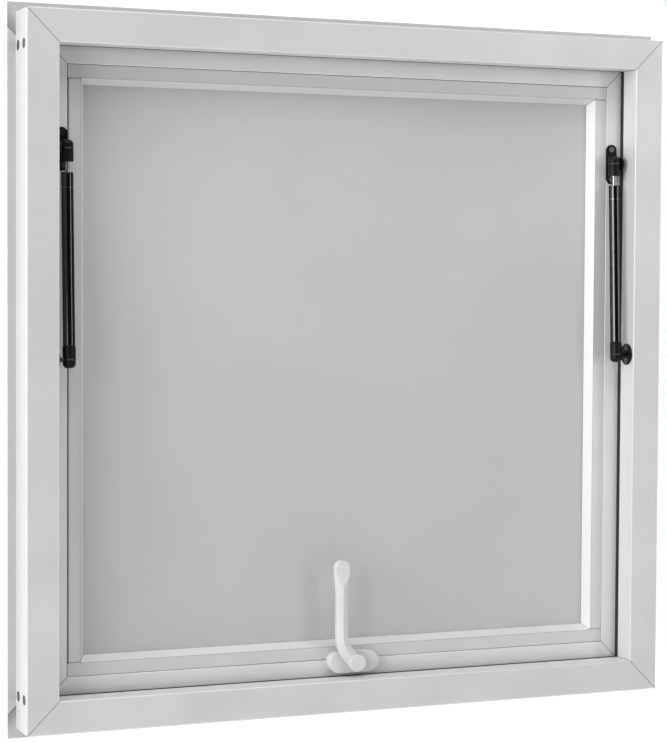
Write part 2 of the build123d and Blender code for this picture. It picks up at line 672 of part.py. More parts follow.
with BuildPart() as hinge_frame_leaf:
    with BuildSketch(section_plane("top", hinge_start)):
        with Locations((HINGE_INSET, HINGE_DEPTH)):
            Circle(HINGE_BEAD_RADIUS)
        with Locations((HINGE_INSET, FLANGE_BACK)):
            Rectangle(HINGE_NECK, HINGE_DEPTH - FLANGE_BACK, align=(Align.CENTER, Align.MIN))
        with Locations((HINGE_INSET + HINGE_NECK / 2, FLANGE_BACK)):
            Rectangle(HINGE_LEAF_REACH, HINGE_LEAF, align=(Align.MAX, Align.MIN))
    extrude(amount=hinge_length)
    sink_holes(rivet_places(FRAME_RIVET_INSET, FLANGE_BACK + HINGE_LEAF), RIVET_HEAD, RIVET_SHANK,
               HINGE_LEAF)
finish(hinge_frame_leaf, "hinge_frame_leaf")

# The socket's mouth faces the neck when closed, and opens round by the swing.
mouth_sweep = OPENING_ANGLE + 2 * (neck_half_angle + MOUTH_SPARE)
mouth_start = 270 - OPENING_ANGLE - neck_half_angle - MOUTH_SPARE
mouth_reach = 3 * HINGE_SOCKET_OUTER
with BuildPart() as hinge_sash_leaf:
    with BuildSketch(section_plane("top", hinge_start)):
        with Locations((HINGE_INSET, SASH_BACK)):
            Rectangle(SASH_EDGE + SASH_LEAF_WIDTH - HINGE_INSET, HINGE_LEAF,
                      align=(Align.MIN, Align.MIN))
        with Locations((HINGE_INSET, HINGE_DEPTH)):
            Circle(HINGE_SOCKET_OUTER)
            Circle(HINGE_SOCKET_INNER, mode=Mode.SUBTRACT)
        # The mouth is cut as a fan of the right sweep.
        with BuildLine():
            fan = [(HINGE_INSET, HINGE_DEPTH)]
            for part in range(5):
                angle = math.radians(mouth_start + mouth_sweep * part / 4)
                fan.append((HINGE_INSET + mouth_reach * math.cos(angle),
                            HINGE_DEPTH + mouth_reach * math.sin(angle)))
            Polyline(*fan, close=True)
        make_face(mode=Mode.SUBTRACT)
    extrude(amount=hinge_length)
    sink_holes(rivet_places(SASH_RIVET_INSET, SASH_BACK + HINGE_LEAF), RIVET_HEAD, RIVET_SHANK,
               HINGE_LEAF)
finish(hinge_sash_leaf, "hinge_sash_leaf")

with BuildPart() as hinge_frame_rivets:
    add_screws(rivet_places(FRAME_RIVET_INSET, FLANGE_BACK + HINGE_LEAF), RIVET_HEAD, RIVET_SHANK,
               HINGE_LEAF + FLANGE_THICK)
finish(hinge_frame_rivets, "hinge_frame_rivets")

with BuildPart() as hinge_sash_rivets:
    add_screws(rivet_places(SASH_RIVET_INSET, SASH_BACK + HINGE_LEAF), RIVET_HEAD, RIVET_SHANK,
               HINGE_LEAF + SASH_WALL + KEY_CLEARANCE)
finish(hinge_sash_rivets, "hinge_sash_rivets")

# ---- Strut plates and brackets -------------------------------------------
for across, hand in ((-1, "left"), (1, "right")):
    with BuildPart() as lower_plate:
        face = Plane(origin=(across * (WIDTH / 2 - FRAME_FACE), depth(LOWER_BALL_DEPTH),
                             LOWER_BALL_Z), z_dir=(-across, 0, 0))
        with BuildSketch(face):
            Circle(LOWER_PLATE_RADIUS)
        extrude(amount=PLATE_THICK)
        own = [p for p in lower_plate_places() if p.position.X * across > 0]
        sink_holes(own, PLATE_SCREW_HEAD, PLATE_SCREW_SHANK, PLATE_THICK)
        front = lower_plate.faces().sort_by(Axis.X)[0 if across > 0 else -1]
        chamfer(front.outer_wire().edges(), PLATE_CHAMFER)
    finish(lower_plate, f"{hand}_lower_plate")

    with BuildPart() as upper_bracket:
        middle_x = across * (WIDTH / 2 - BRACKET_MIDDLE)
        plate_face = Plane(origin=(middle_x, depth(SASH_FACE), UPPER_BALL_Z), x_dir=(1, 0, 0),
                           z_dir=(0, -1, 0))
        with BuildSketch(plate_face):
            SlotOverall(UPPER_PLATE_HEIGHT, UPPER_PLATE_WIDTH, rotation=90)
        extrude(amount=PLATE_THICK)
        ear_x = across * (WIDTH / 2 - BRACKET_OUTER)
        ear_face = Plane(origin=(ear_x, depth(SASH_FACE), UPPER_BALL_Z), x_dir=(0, -1, 0),
                         z_dir=(-across, 0, 0))
        ear_rise = SASH_FACE - UPPER_BALL_DEPTH
        with BuildSketch(ear_face):
            with Locations((ear_rise, 0)):
                Circle(EAR_RADIUS)
            Rectangle(ear_rise, 2 * EAR_RADIUS, align=(Align.MIN, Align.CENTER))
            with Locations((ear_rise, 0)):
                Circle(NECK_RADIUS, mode=Mode.SUBTRACT)
        extrude(amount=PLATE_THICK)
        own = [p for p in bracket_places() if p.position.X * across > 0]
        sink_holes(own, PLATE_SCREW_HEAD, PLATE_SCREW_SHANK, PLATE_THICK)
    finish(upper_bracket, f"{hand}_upper_bracket")

with BuildPart() as lower_plate_screws:
    add_screws(lower_plate_places(), PLATE_SCREW_HEAD, PLATE_SCREW_SHANK, PLATE_SCREW_LENGTH)
finish(lower_plate_screws, "lower_plate_screws")

with BuildPart() as upper_bracket_screws:
    add_screws(bracket_places(), PLATE_SCREW_HEAD, PLATE_SCREW_SHANK, PLATE_SCREW_LENGTH)
finish(upper_bracket_screws, "upper_bracket_screws")

# ---- Gas struts ----------------------------------------------------------
lean = UPPER_BALL_DEPTH - LOWER_BALL_DEPTH
strut_length = math.hypot(lean, LOWER_BALL_DROP)
swing = math.radians(OPENING_ANGLE)
ball_out = UPPER_BALL_DEPTH - HINGE_DEPTH
open_ball_y = ball_out * math.cos(swing) + UPPER_BALL_DROP * math.sin(swing) + HINGE_DEPTH
open_ball_drop = UPPER_BALL_DROP * math.cos(swing) - ball_out * math.sin(swing)
open_rise = UPPER_BALL_DROP + LOWER_BALL_DROP - open_ball_drop
open_length = math.hypot(open_ball_y - LOWER_BALL_DEPTH, open_rise)
stroke = open_length - strut_length
tube_bottom = SOCKET_SHAFT_END
tube_top = tube_bottom + TUBE_LENGTH
guide_bottom = tube_top - TUBE_LIP - GUIDE_LENGTH
piston_top = guide_bottom - stroke - STOP_CLEARANCE
piston_bottom = piston_top - PISTON_LENGTH
inner_radius = TUBE_RADIUS - TUBE_WALL
thread_end = BALL_RADIUS + BALL_PLAY + SOCKET_WEB
print("strut closed", round(strut_length, 2), "open", round(open_length, 2), "stroke",
      round(stroke, 2), "piston above tube end", round(piston_bottom - tube_bottom - TUBE_END, 2))


def strut_plane(across, along=0.0):
    """Plane on a strut's axis: local z runs up it from the lower ball."""
    origin = Vector(across * STRUT_X, depth(LOWER_BALL_DEPTH), LOWER_BALL_Z)
    direction = Vector(0, lean, LOWER_BALL_DROP).normalized()
    return Plane(origin=origin + direction * along, x_dir=(across, 0, 0), z_dir=direction)


def ball_and_neck(across, at, ball_radius, neck_radius, reach):
    """Ball with its neck, turned about the axis that points at the jamb."""
    ball = strut_plane(across, at).origin
    meeting = math.sqrt(ball_radius ** 2 - neck_radius ** 2)
    with BuildPart() as piece:
        with BuildSketch(Plane(origin=ball, x_dir=(across, 0, 0), z_dir=(0, -across, 0))):
            with BuildLine():
                ThreePointArc((-ball_radius, 0), (0, ball_radius), (meeting, neck_radius))
                Polyline((meeting, neck_radius), (reach, neck_radius), (reach, 0),
                         (-ball_radius, 0))
            make_face()
        revolve(axis=Axis(ball, (across, 0, 0)))
    return piece.part


def socket(across, at, shaft_way, bore):
    """Ball socket: shaft_way is +1 where the shaft enters from above."""
    mouth = ball_and_neck(across, at, BALL_RADIUS + BALL_PLAY, NECK_RADIUS + SOCKET_MOUTH_PLAY,
                          SOCKET_RADIUS + 1)
    with BuildPart() as piece:
        with BuildSketch(strut_plane(across, at)):
            Circle(SOCKET_RADIUS)
        extrude(amount=shaft_way * SOCKET_SHAFT_END)
        extrude(piece.faces().sort_by_distance(strut_plane(across, at).origin)[0],
                amount=SOCKET_FREE_END)
        free_end = strut_plane(across, at - shaft_way * SOCKET_FREE_END).origin
        fillet(piece.edges().filter_by(GeomType.CIRCLE).sort_by_distance(free_end)[0],
               SOCKET_ROUNDING)
        with Locations(strut_plane(across, at).location):
            Torus(SOCKET_RADIUS, CLIP_WIRE + CLIP_PLAY, mode=Mode.SUBTRACT)
        add(mouth, mode=Mode.SUBTRACT)
        with BuildSketch(strut_plane(across, at + shaft_way * SOCKET_SHAFT_END)):
            Circle(bore)
        extrude(amount=-shaft_way * (SOCKET_SHAFT_END - thread_end), mode=Mode.SUBTRACT)
    return piece


for across, hand in ((-1, "left"), (1, "right")):
    with BuildPart() as tube:
        with BuildSketch(strut_plane(across, tube_bottom)):
            Circle(TUBE_RADIUS)
        extrude(amount=TUBE_LENGTH)
        with BuildSketch(strut_plane(across, tube_bottom + TUBE_END)):
            Circle(inner_radius)
        extrude(amount=TUBE_LENGTH - TUBE_END - TUBE_LIP, mode=Mode.SUBTRACT)
        with BuildSketch(strut_plane(across, tube_top - TUBE_LIP)):
            Circle(ROD_RADIUS + LIP_PLAY)
        extrude(amount=TUBE_LIP, mode=Mode.SUBTRACT)
        with BuildSketch(strut_plane(across, tube_top - CRIMP_DROP)):
            Circle(TUBE_RADIUS + CUT_MARGIN)
            Circle(TUBE_RADIUS - CRIMP_DEPTH, mode=Mode.SUBTRACT)
        extrude(amount=-CRIMP_WIDTH, mode=Mode.SUBTRACT)
        # Threaded stud into the lower socket.
        with BuildSketch(strut_plane(across, tube_bottom)):
            Circle(ROD_RADIUS)
        extrude(amount=-(SOCKET_SHAFT_END - thread_end - THREAD_GAP))
        ends = [strut_plane(across, tube_bottom).origin, strut_plane(across, tube_top).origin]
        rims = [e for e in tube.edges().filter_by(GeomType.CIRCLE)
                if abs(e.radius - TUBE_RADIUS) < 0.01
                and min((e.arc_center - end).length for end in ends) < 0.01]
        fillet(rims, TUBE_ROUNDING)
    finish(tube, f"{hand}_strut_tube")

    with BuildPart() as guide:
        with BuildSketch(strut_plane(across, guide_bottom)):
            Circle(inner_radius)
            Circle(ROD_RADIUS + ROD_PLAY, mode=Mode.SUBTRACT)
        extrude(amount=GUIDE_LENGTH)
    finish(guide, f"{hand}_rod_guide")

    with BuildPart() as rod:
        with BuildSketch(strut_plane(across, piston_bottom)):
            Circle(ROD_RADIUS)
        extrude(amount=strut_length - thread_end - THREAD_GAP - piston_bottom)
    finish(rod, f"{hand}_strut_rod")

    with BuildPart() as piston:
        with BuildSketch(strut_plane(across, piston_bottom)):
            Circle(inner_radius - PISTON_PLAY)
            Circle(ROD_RADIUS, mode=Mode.SUBTRACT)
        extrude(amount=PISTON_LENGTH)
    finish(piston, f"{hand}_strut_piston")

    finish(socket(across, 0.0, 1, ROD_RADIUS), f"{hand}_lower_socket")
    finish(socket(across, strut_length, -1, ROD_RADIUS), f"{hand}_upper_socket")

    # The lower stud turns with the tube and stops just off its plate.
    with BuildPart() as lower_stud:
        neck_end = STRUT_INSET - FRAME_FACE - PLATE_THICK - OPEN_PIVOT_GAP
        add(ball_and_neck(across, 0.0, BALL_RADIUS, NECK_RADIUS, neck_end))
    finish(lower_stud, f"{hand}_lower_ball_stud")

with BuildPart() as upper_ball_studs:
    for across in (-1, 1):
        ear_reach = STRUT_INSET - BRACKET_OUTER
        add(ball_and_neck(across, strut_length, BALL_RADIUS, NECK_RADIUS, ear_reach))
        ear_side = strut_plane(across, strut_length).origin + Vector(across * ear_reach, 0, 0)
        with BuildSketch(Plane(origin=ear_side, z_dir=(across, 0, 0))):
            Circle(NECK_RADIUS + STUD_HEAD_RIM)
        extrude(amount=STUD_HEAD_THICK)
finish(upper_ball_studs, "upper_ball_studs")


def socket_clip(across, at):
    """Open spring ring that locks the ball into its socket."""
    with BuildPart() as piece:
        with BuildLine(strut_plane(across, at)) as ring:
            CenterArc((0, 0), SOCKET_RADIUS, CLIP_MOUTH / 2, 360 - CLIP_MOUTH)
        with BuildSketch(Plane(origin=ring.line @ 0, z_dir=ring.line % 0)):
            Circle(CLIP_WIRE)
        sweep(path=ring.line)
    return piece


for across, hand in ((-1, "left"), (1, "right")):
    finish(socket_clip(across, 0.0), f"{hand}_lower_clip")
    finish(socket_clip(across, strut_length), f"{hand}_upper_clip")

# ---- Rosette -------------------------------------------------------------
with BuildPart() as rosette_base:
    with BuildSketch(facing_plane(SASH_FACE)):
        SlotOverall(ROSETTE_LENGTH - 2 * (ROSETTE_WALL + BASE_INSET),
                    ROSETTE_WIDTH - 2 * (ROSETTE_WALL + BASE_INSET))
        Circle(LEVER_NECK + SHAFT_PLAY, mode=Mode.SUBTRACT)
    extrude(amount=BASE_THICK)
    sink_holes(base_screw_places(), PLATE_SCREW_HEAD, PLATE_SCREW_SHANK, BASE_THICK)
finish(rosette_base, "rosette_base")

with BuildPart() as rosette_cover:
    with BuildSketch(facing_plane(SASH_FACE)):
        SlotOverall(ROSETTE_LENGTH, ROSETTE_WIDTH)
    extrude(amount=ROSETTE_HEIGHT)
    fillet(rosette_cover.faces().sort_by(Axis.Y)[0].outer_wire().edges(), ROSETTE_ROUNDING)
    with BuildSketch(facing_plane(SASH_FACE)):
        SlotOverall(ROSETTE_LENGTH - 2 * ROSETTE_WALL, ROSETTE_WIDTH - 2 * ROSETTE_WALL)
    extrude(amount=ROSETTE_HEIGHT - ROSETTE_WALL, mode=Mode.SUBTRACT)
    with BuildSketch(facing_plane(SASH_FACE)):
        Circle(LEVER_NECK + SHAFT_PLAY)
    extrude(amount=ROSETTE_HEIGHT, mode=Mode.SUBTRACT)
finish(rosette_cover, "rosette_cover")

with BuildPart() as rosette_screws:
    add_screws(base_screw_places(), PLATE_SCREW_HEAD, PLATE_SCREW_SHANK, BASE_THICK + SASH_WALL)
finish(rosette_screws, "rosette_screws")

# ---- Lever, spindle, tongue and keeper ------------------------------------
lever_back = SASH_FACE - ROSETTE_HEIGHT - LEVER_STANDOFF
lever_joints = [
    ((0.0, 0.0), 11.3),
    ((-20.3, 24.0), 8.8),
    ((-21.3, 66.0), 8.2),
    ((-21.3, 98.0), 8.5),
    ((-21.6, 125.4), 10.9),
]
with BuildPart() as lever:
    for (place_a, radius_a), (place_b, radius_b) in zip(lever_joints, lever_joints[1:]):
        with BuildSketch(facing_plane(lever_back)):
            with Locations(place_a):
                Circle(radius_a)
            with Locations(place_b):
                Circle(radius_b)
            make_hull()
        extrude(amount=LEVER_THICK)
    chamfer(lever.faces().sort_by(Axis.Y)[0].outer_wire().edges(), LEVER_CHAMFER)
    with BuildSketch(facing_plane(lever_back)):
        Circle(LEVER_NECK)
    extrude(amount=-(LEVER_STANDOFF + ROSETTE_HEIGHT - NECK_TO_BASE))
    with BuildSketch(facing_plane(SASH_FACE)):
        Rectangle(SPINDLE, SPINDLE)
    extrude(amount=SASH_FACE - lever_back + SPINDLE_SINK, mode=Mode.SUBTRACT)
finish(lever, "lever")

with BuildPart() as spindle:
    with BuildSketch(facing_plane(TONGUE_BACK)):
        Rectangle(SPINDLE, SPINDLE)
    extrude(amount=TONGUE_BACK - lever_back + SPINDLE_SINK)
    with BuildSketch(facing_plane(TONGUE_BACK)):
        Circle(TONGUE_SCREW_SHANK)
    extrude(amount=TONGUE_SCREW_LENGTH + SPINDLE_SCREW_SPARE, mode=Mode.SUBTRACT)
finish(spindle, "spindle")

with BuildPart() as latch_tongue:
    with BuildSketch(facing_plane(TONGUE_BACK)) as tongue_outline:
        with Locations((0, -TONGUE_OFFSET)):
            Rectangle(TONGUE_REACH, TONGUE_WIDTH, align=(Align.MIN, Align.MAX))
        Circle(TONGUE_REACH, mode=Mode.INTERSECT)
        Circle(TONGUE_HUB)
        Rectangle(SPINDLE, SPINDLE, mode=Mode.SUBTRACT)
    extrude(amount=TONGUE_THICK)
finish(latch_tongue, "latch_tongue")

with BuildPart() as tongue_screw:
    with BuildSketch(facing_plane(TONGUE_BACK)):
        Circle(TONGUE_SCREW_HEAD)
    extrude(amount=-TONGUE_SCREW_HEIGHT)
    with BuildSketch(facing_plane(TONGUE_BACK + TONGUE_SCREW_HEIGHT)):
        RegularPolygon(TONGUE_SCREW_SHANK, 6)
    extrude(amount=TONGUE_SCREW_HEIGHT, mode=Mode.SUBTRACT)
    with BuildSketch(facing_plane(TONGUE_BACK)):
        Circle(TONGUE_SCREW_SHANK)
    extrude(amount=TONGUE_SCREW_LENGTH)
finish(tongue_screw, "tongue_screw")

lip_near = TONGUE_BACK + LATCH_PLAY
with BuildPart() as latch_keeper:
    base_near = KEEPER_SCREW_DEPTH - KEEPER_EDGE
    with BuildSketch(section_plane("bottom", WIDTH / 2 - KEEPER_X - KEEPER_LENGTH / 2)):
        with Locations((LEG_WALL, base_near)):
            Rectangle(KEEPER_BASE, lip_near + KEEPER_LIP - base_near, align=(Align.MIN, Align.MIN))
        with Locations((LEG_WALL, lip_near)):
            Rectangle(KEEPER_REACH, KEEPER_LIP, align=(Align.MIN, Align.MIN))
    extrude(amount=KEEPER_LENGTH)
    sink_holes(keeper_screw_places(), KEEPER_SCREW_HEAD, KEEPER_SCREW_SHANK, KEEPER_BASE)
finish(latch_keeper, "latch_keeper")

with BuildPart() as keeper_screws:
    add_screws(keeper_screw_places(), KEEPER_SCREW_HEAD, KEEPER_SCREW_SHANK,
               KEEPER_BASE + LEG_WALL)
finish(keeper_screws, "keeper_screws")
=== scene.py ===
"""Looks of a top-hung aluminium service window with a lever handle and two gas struts.

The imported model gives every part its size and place. Extruded members, beads, seals, plates and
screws stay as they are and get softened arrises and a finish each. The cast lever and its rosette
are built here as new meshes that stand for the plain parts.
"""

import logging
import math
from abc import ABC, abstractmethod
from dataclasses import dataclass, field
from enum import Enum

import bmesh
import bpy
from mathutils import Matrix, Vector


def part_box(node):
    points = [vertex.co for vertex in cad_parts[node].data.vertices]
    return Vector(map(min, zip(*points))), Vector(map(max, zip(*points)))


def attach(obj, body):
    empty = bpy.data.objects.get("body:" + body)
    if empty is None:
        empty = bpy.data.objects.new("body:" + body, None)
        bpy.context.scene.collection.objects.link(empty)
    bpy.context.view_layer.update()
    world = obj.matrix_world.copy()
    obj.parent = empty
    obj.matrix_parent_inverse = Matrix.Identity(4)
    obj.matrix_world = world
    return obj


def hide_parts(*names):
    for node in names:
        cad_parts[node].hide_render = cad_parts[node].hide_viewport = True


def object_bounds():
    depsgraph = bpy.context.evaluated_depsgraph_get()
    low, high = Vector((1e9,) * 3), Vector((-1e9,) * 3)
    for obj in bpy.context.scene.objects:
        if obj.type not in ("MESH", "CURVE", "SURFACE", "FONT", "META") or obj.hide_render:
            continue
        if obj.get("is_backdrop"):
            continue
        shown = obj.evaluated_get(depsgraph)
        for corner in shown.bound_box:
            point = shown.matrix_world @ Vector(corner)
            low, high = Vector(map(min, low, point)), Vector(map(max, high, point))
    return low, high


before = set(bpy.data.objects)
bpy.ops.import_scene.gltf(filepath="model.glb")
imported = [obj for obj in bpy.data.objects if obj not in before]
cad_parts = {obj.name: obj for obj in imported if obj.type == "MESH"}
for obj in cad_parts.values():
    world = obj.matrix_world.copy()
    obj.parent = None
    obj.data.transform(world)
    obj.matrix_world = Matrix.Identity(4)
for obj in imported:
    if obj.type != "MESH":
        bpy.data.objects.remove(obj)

log = logging.getLogger("window")

MM = 0.001
FRAME_HALF = 446.0 * MM
Colour = tuple[float, float, float]
Number = "Value | float"


def grey(tone: float) -> Colour:
    """Neutral colour of one tone."""
    return (tone, tone, tone)


class Run(Enum):
    """The way an extruded or drawn part runs, and so the way its grain lies."""

    ACROSS = 0
    DEEP = 1
    UPRIGHT = 2


class Hand(Enum):
    """Side of the window that a strut hangs on, seen from indoors."""

    LEFT = "left"
    RIGHT = "right"


# ---- Shader graph ----


class Value:
    """A number or vector that flows out of a shader node, with arithmetic that adds nodes."""

    def __init__(self, graph: "Graph", socket: bpy.types.NodeSocket) -> None:
        """Wraps an output socket of a node in a graph."""
        self.graph = graph
        self.socket = socket

    def _math(self, operation: str, first: Number, second: Number) -> "Value":
        """Adds one Math node.

        Args:
            operation: The node's operation.
            first: Left operand.
            second: Right operand.

        Returns:
            The node's result.
        """
        return self.graph.node("ShaderNodeMath", {"operation": operation}, {0: first, 1: second})

    def __add__(self, other: Number) -> "Value":
        """Sum."""
        return self._math("ADD", self, other)

    def __radd__(self, other: Number) -> "Value":
        """Sum, with the number on the left."""
        return self._math("ADD", other, self)

    def __sub__(self, other: Number) -> "Value":
        """Difference."""
        return self._math("SUBTRACT", self, other)

    def __rsub__(self, other: Number) -> "Value":
        """Difference, with the number on the left."""
        return self._math("SUBTRACT", other, self)

    def __mul__(self, other: Number) -> "Value":
        """Product."""
        return self._math("MULTIPLY", self, other)

    def __rmul__(self, other: Number) -> "Value":
        """Product, with the number on the left."""
        return self._math("MULTIPLY", other, self)

    def __truediv__(self, other: Number) -> "Value":
        """Quotient."""
        return self._math("DIVIDE", self, other)

    def __abs__(self) -> "Value":
        """Size without its sign."""
        return self._math("ABSOLUTE", self, 0.0)

    def larger(self, other: Number) -> "Value":
        """The larger of two values."""
        return self._math("MAXIMUM", self, other)

    def smaller(self, other: Number) -> "Value":
        """The smaller of two values."""
        return self._math("MINIMUM", self, other)

    def root(self) -> "Value":
        """Square root."""
        return self._math("SQRT", self, 0.0)

    def near(self, centre: float, reach: float) -> "Value":
        """Mask that is 1 at a place and fades to 0 at a distance from it.

        Args:
            centre: Place where the mask is strongest.
            reach: Distance at which the mask ends.

        Returns:
            The mask, from 0 to 1.
        """
        return (1.0 - abs(self - centre) / reach).larger(0.0)

    def between(self, low: float, high: float) -> "Value":
        """Smooth step that is 0 below low and 1 above high."""
        return self.graph.node(
            "ShaderNodeMapRange",
            {"interpolation_type": "SMOOTHSTEP"},
            {"Value": self, "From Min": low, "From Max": high},
        )


class Graph:
    """The node tree of one material, around a Principled shader."""

    def __init__(self, material: bpy.types.Material) -> None:
        """Clears a material's nodes and adds its shader and output."""
        material.use_nodes = True
        self.tree = material.node_tree
        self.tree.nodes.clear()
        self.shader = self.tree.nodes.new("ShaderNodeBsdfPrincipled")
        output = self.tree.nodes.new("ShaderNodeOutputMaterial")
        self.tree.links.new(self.shader.outputs[0], output.inputs["Surface"])

    def feed(self, node: bpy.types.Node, name: str | int, value: object) -> None:
        """Sets or links one input of a node.

        Args:
            node: The node.
            name: Name or index of the input.
            value: A Value to link, or a constant to set.
        """
        socket = node.inputs[name]
        if isinstance(value, Value):
            self.tree.links.new(value.socket, socket)
        elif isinstance(value, tuple) and socket.type == "RGBA":
            socket.default_value = (*value[:3], 1.0)
        else:
            socket.default_value = value

    def node(
        self, kind: str, settings: dict[str, object], inputs: dict[str | int, object], out: str | int = 0
    ) -> Value:
        """Adds any node.

        Args:
            kind: The node's type.
            settings: Settings, made before its inputs.
            inputs: Constants or links for its sockets.
            out: Name or index of the output that is wanted.

        Returns:
            That output.
        """
        node = self.tree.nodes.new(kind)
        for name, setting in settings.items():
            setattr(node, name, setting)
        for name, value in inputs.items():
            self.feed(node, name, value)
        return Value(self, node.outputs[out])

    def place(self) -> Value:
        """Place of the point on its own part, in metres."""
        return self.node("ShaderNodeTexCoord", {}, {}, "Object")

    def axes(self) -> tuple[Value, Value, Value]:
        """The three coordinates of the point, apart."""
        parts = self.tree.nodes.new("ShaderNodeSeparateXYZ")
        self.feed(parts, "Vector", self.place())
        return tuple(Value(self, parts.outputs[index]) for index in range(3))

    def stretched(self, factors: tuple[float, float, float]) -> Value:
        """The point's place, scaled by a factor along each axis."""
        return self.node("ShaderNodeVectorMath", {"operation": "MULTIPLY"}, {0: self.place(), 1: factors})

    def noise(self, factors: tuple[float, float, float], detail: float = 3.0) -> Value:
        """Fractal noise, about 0.5, of a given fineness along each axis.

        Args:
            factors: Features per metre along each axis.
            detail: Octaves of finer noise.

        Returns:
            The noise, from 0 to 1.
        """
        inputs = {"Vector": self.stretched(factors), "Scale": 1.0, "Detail": detail, "Roughness": 0.55}
        return self.node("ShaderNodeTexNoise", {}, inputs, "Fac")

    def cells(self, per_metre: float) -> Value:
        """Distance to the nearest of scattered points, for pits, specks and grains."""
        factors = (per_metre, per_metre, per_metre)
        inputs = {"Vector": self.stretched(factors), "Scale": 1.0}
        return self.node("ShaderNodeTexVoronoi", {"feature": "F1"}, inputs, "Distance")

    def tint(self, base: "Value | Colour", other: "Value | Colour", amount: Number) -> Value:
        """One colour turned towards another by an amount."""
        settings = {"data_type": "RGBA", "blend_type": "MIX"}
        return self.node("ShaderNodeMix", settings, {0: amount, 6: base, 7: other}, 2)

    def bump(self, height: Value, relief: float, strength: float = 1.0) -> Value:
        """Normal that a height from 0 to 1 gives.

        Args:
            height: The height.
            relief: Depth that a height of 1 stands for, in metres.
            strength: Share of the effect.

        Returns:
            The normal.
        """
        inputs = {"Height": height, "Distance": relief, "Strength": strength}
        return self.node("ShaderNodeBump", {}, inputs, "Normal")

    def surface(self, **inputs: object) -> None:
        """Sets the shader's inputs, named in the maker's way with underscores."""
        for name, value in inputs.items():
            self.feed(self.shader, name.replace("_", " ").title().replace("Ior", "IOR"), value)


# ---- Finishes ----


@dataclass(frozen=True)
class Finish(ABC):
    """A surface finish that can be put on parts."""

    name: str

    @abstractmethod
    def paint(self, graph: Graph) -> None:
        """Builds the finish's nodes in a graph."""

    def material(self) -> bpy.types.Material:
        """The finish as a material, made once."""
        made = bpy.data.materials.get(self.name)
        if made is None:
            made = bpy.data.materials.new(self.name)
            self.paint(Graph(made))
        return made


@dataclass(frozen=True)
class Extrusion(Finish):
    """Fine-texture silver coating on an extruded member, with faint die lines along it."""

    run: Run
    light: Colour = grey(0.605)
    shade: Colour = grey(0.56)
    # Colour of the joint hairlines and of the painted shade.
    seam_and_shade: Colour = grey(0.03)
    # Colour of the painted arris highlight.
    rub_and_highlight: Colour = grey(0.86)
    half: float = FRAME_HALF
    arrises: tuple[float, ...] = ()
    arris_reach: float = 1.1 * MM
    hairline: float = 0.95 * MM
    roughness: float = 0.42
    along: float = 5.0
    across: float = 1100.0

    def lines(self, x: Value, y: Value, z: Value, inset: Value) -> Value:
        """Dark hairlines where the member meets its neighbours.

        Args:
            x: Distance across from the middle of the window.
            y: Depth.
            z: Height above the middle.
            inset: Distance in from the window's outer faces.

        Returns:
            Mask of the lines.
        """
        return abs(abs(x) - abs(z)).near(0.0, self.hairline)

    def with_painted_light_and_shade(self, graph: Graph, colour: Value, x: Value, z: Value, inset: Value) -> Value:
        """Painted light and shade over parts of the member; none on a plain one.

        Args:
            graph: The graph to add to.
            colour: The coating's colour.
            x: Distance across from the middle of the window.
            z: Height above the middle.
            inset: Distance in from the window's outer faces.

        Returns:
            The changed colour.
        """
        return colour

    def paint(self, graph: Graph) -> None:
        """Builds the coating, its die lines, painted highlights along its arrises and the hairlines at its
        joints, with any painted shade that lines() adds.
        """
        factors = tuple(self.along if index == self.run.value else self.across for index in range(3))
        die = graph.noise(factors, 2.0)
        cloud = graph.noise((7.0, 7.0, 7.0), 4.0)
        peel = graph.noise((900.0, 900.0, 900.0), 2.0)
        x, y, z = graph.axes()
        inset = self.half - abs(x).larger(abs(z))
        colour = graph.tint(self.light, self.shade, cloud.between(0.35, 0.68))
        colour = graph.tint(colour, self.shade, die.between(0.55, 0.8) * 0.35)
        colour = self.with_painted_light_and_shade(graph, colour, x, z, inset)
        # Painted highlight along the arrises.
        if self.arrises:
            arris_highlight = 0.0
            for arris in self.arrises:
                arris_highlight = inset.near(arris, self.arris_reach) + arris_highlight
            colour = graph.tint(colour, self.rub_and_highlight, arris_highlight * (0.45 + 0.5 * cloud))
        # Mask of the dark joint hairlines and of any painted shade that lines() adds.
        seams_and_painted_shade = (self.lines(x, y, z, inset) * 0.92).smaller(1.0)
        colour = graph.tint(colour, self.seam_and_shade, seams_and_painted_shade)
        graph.surface(
            base_color=colour,
            roughness=self.roughness + 0.10 * die + 0.08 * cloud + 0.2 * seams_and_painted_shade - 0.05,
            metallic=0.25 + 0.1 * peel,
            normal=graph.bump(0.45 * peel + 0.35 * die - 1.4 * seams_and_painted_shade + 1.4, 0.03 * MM, 0.55),
        )


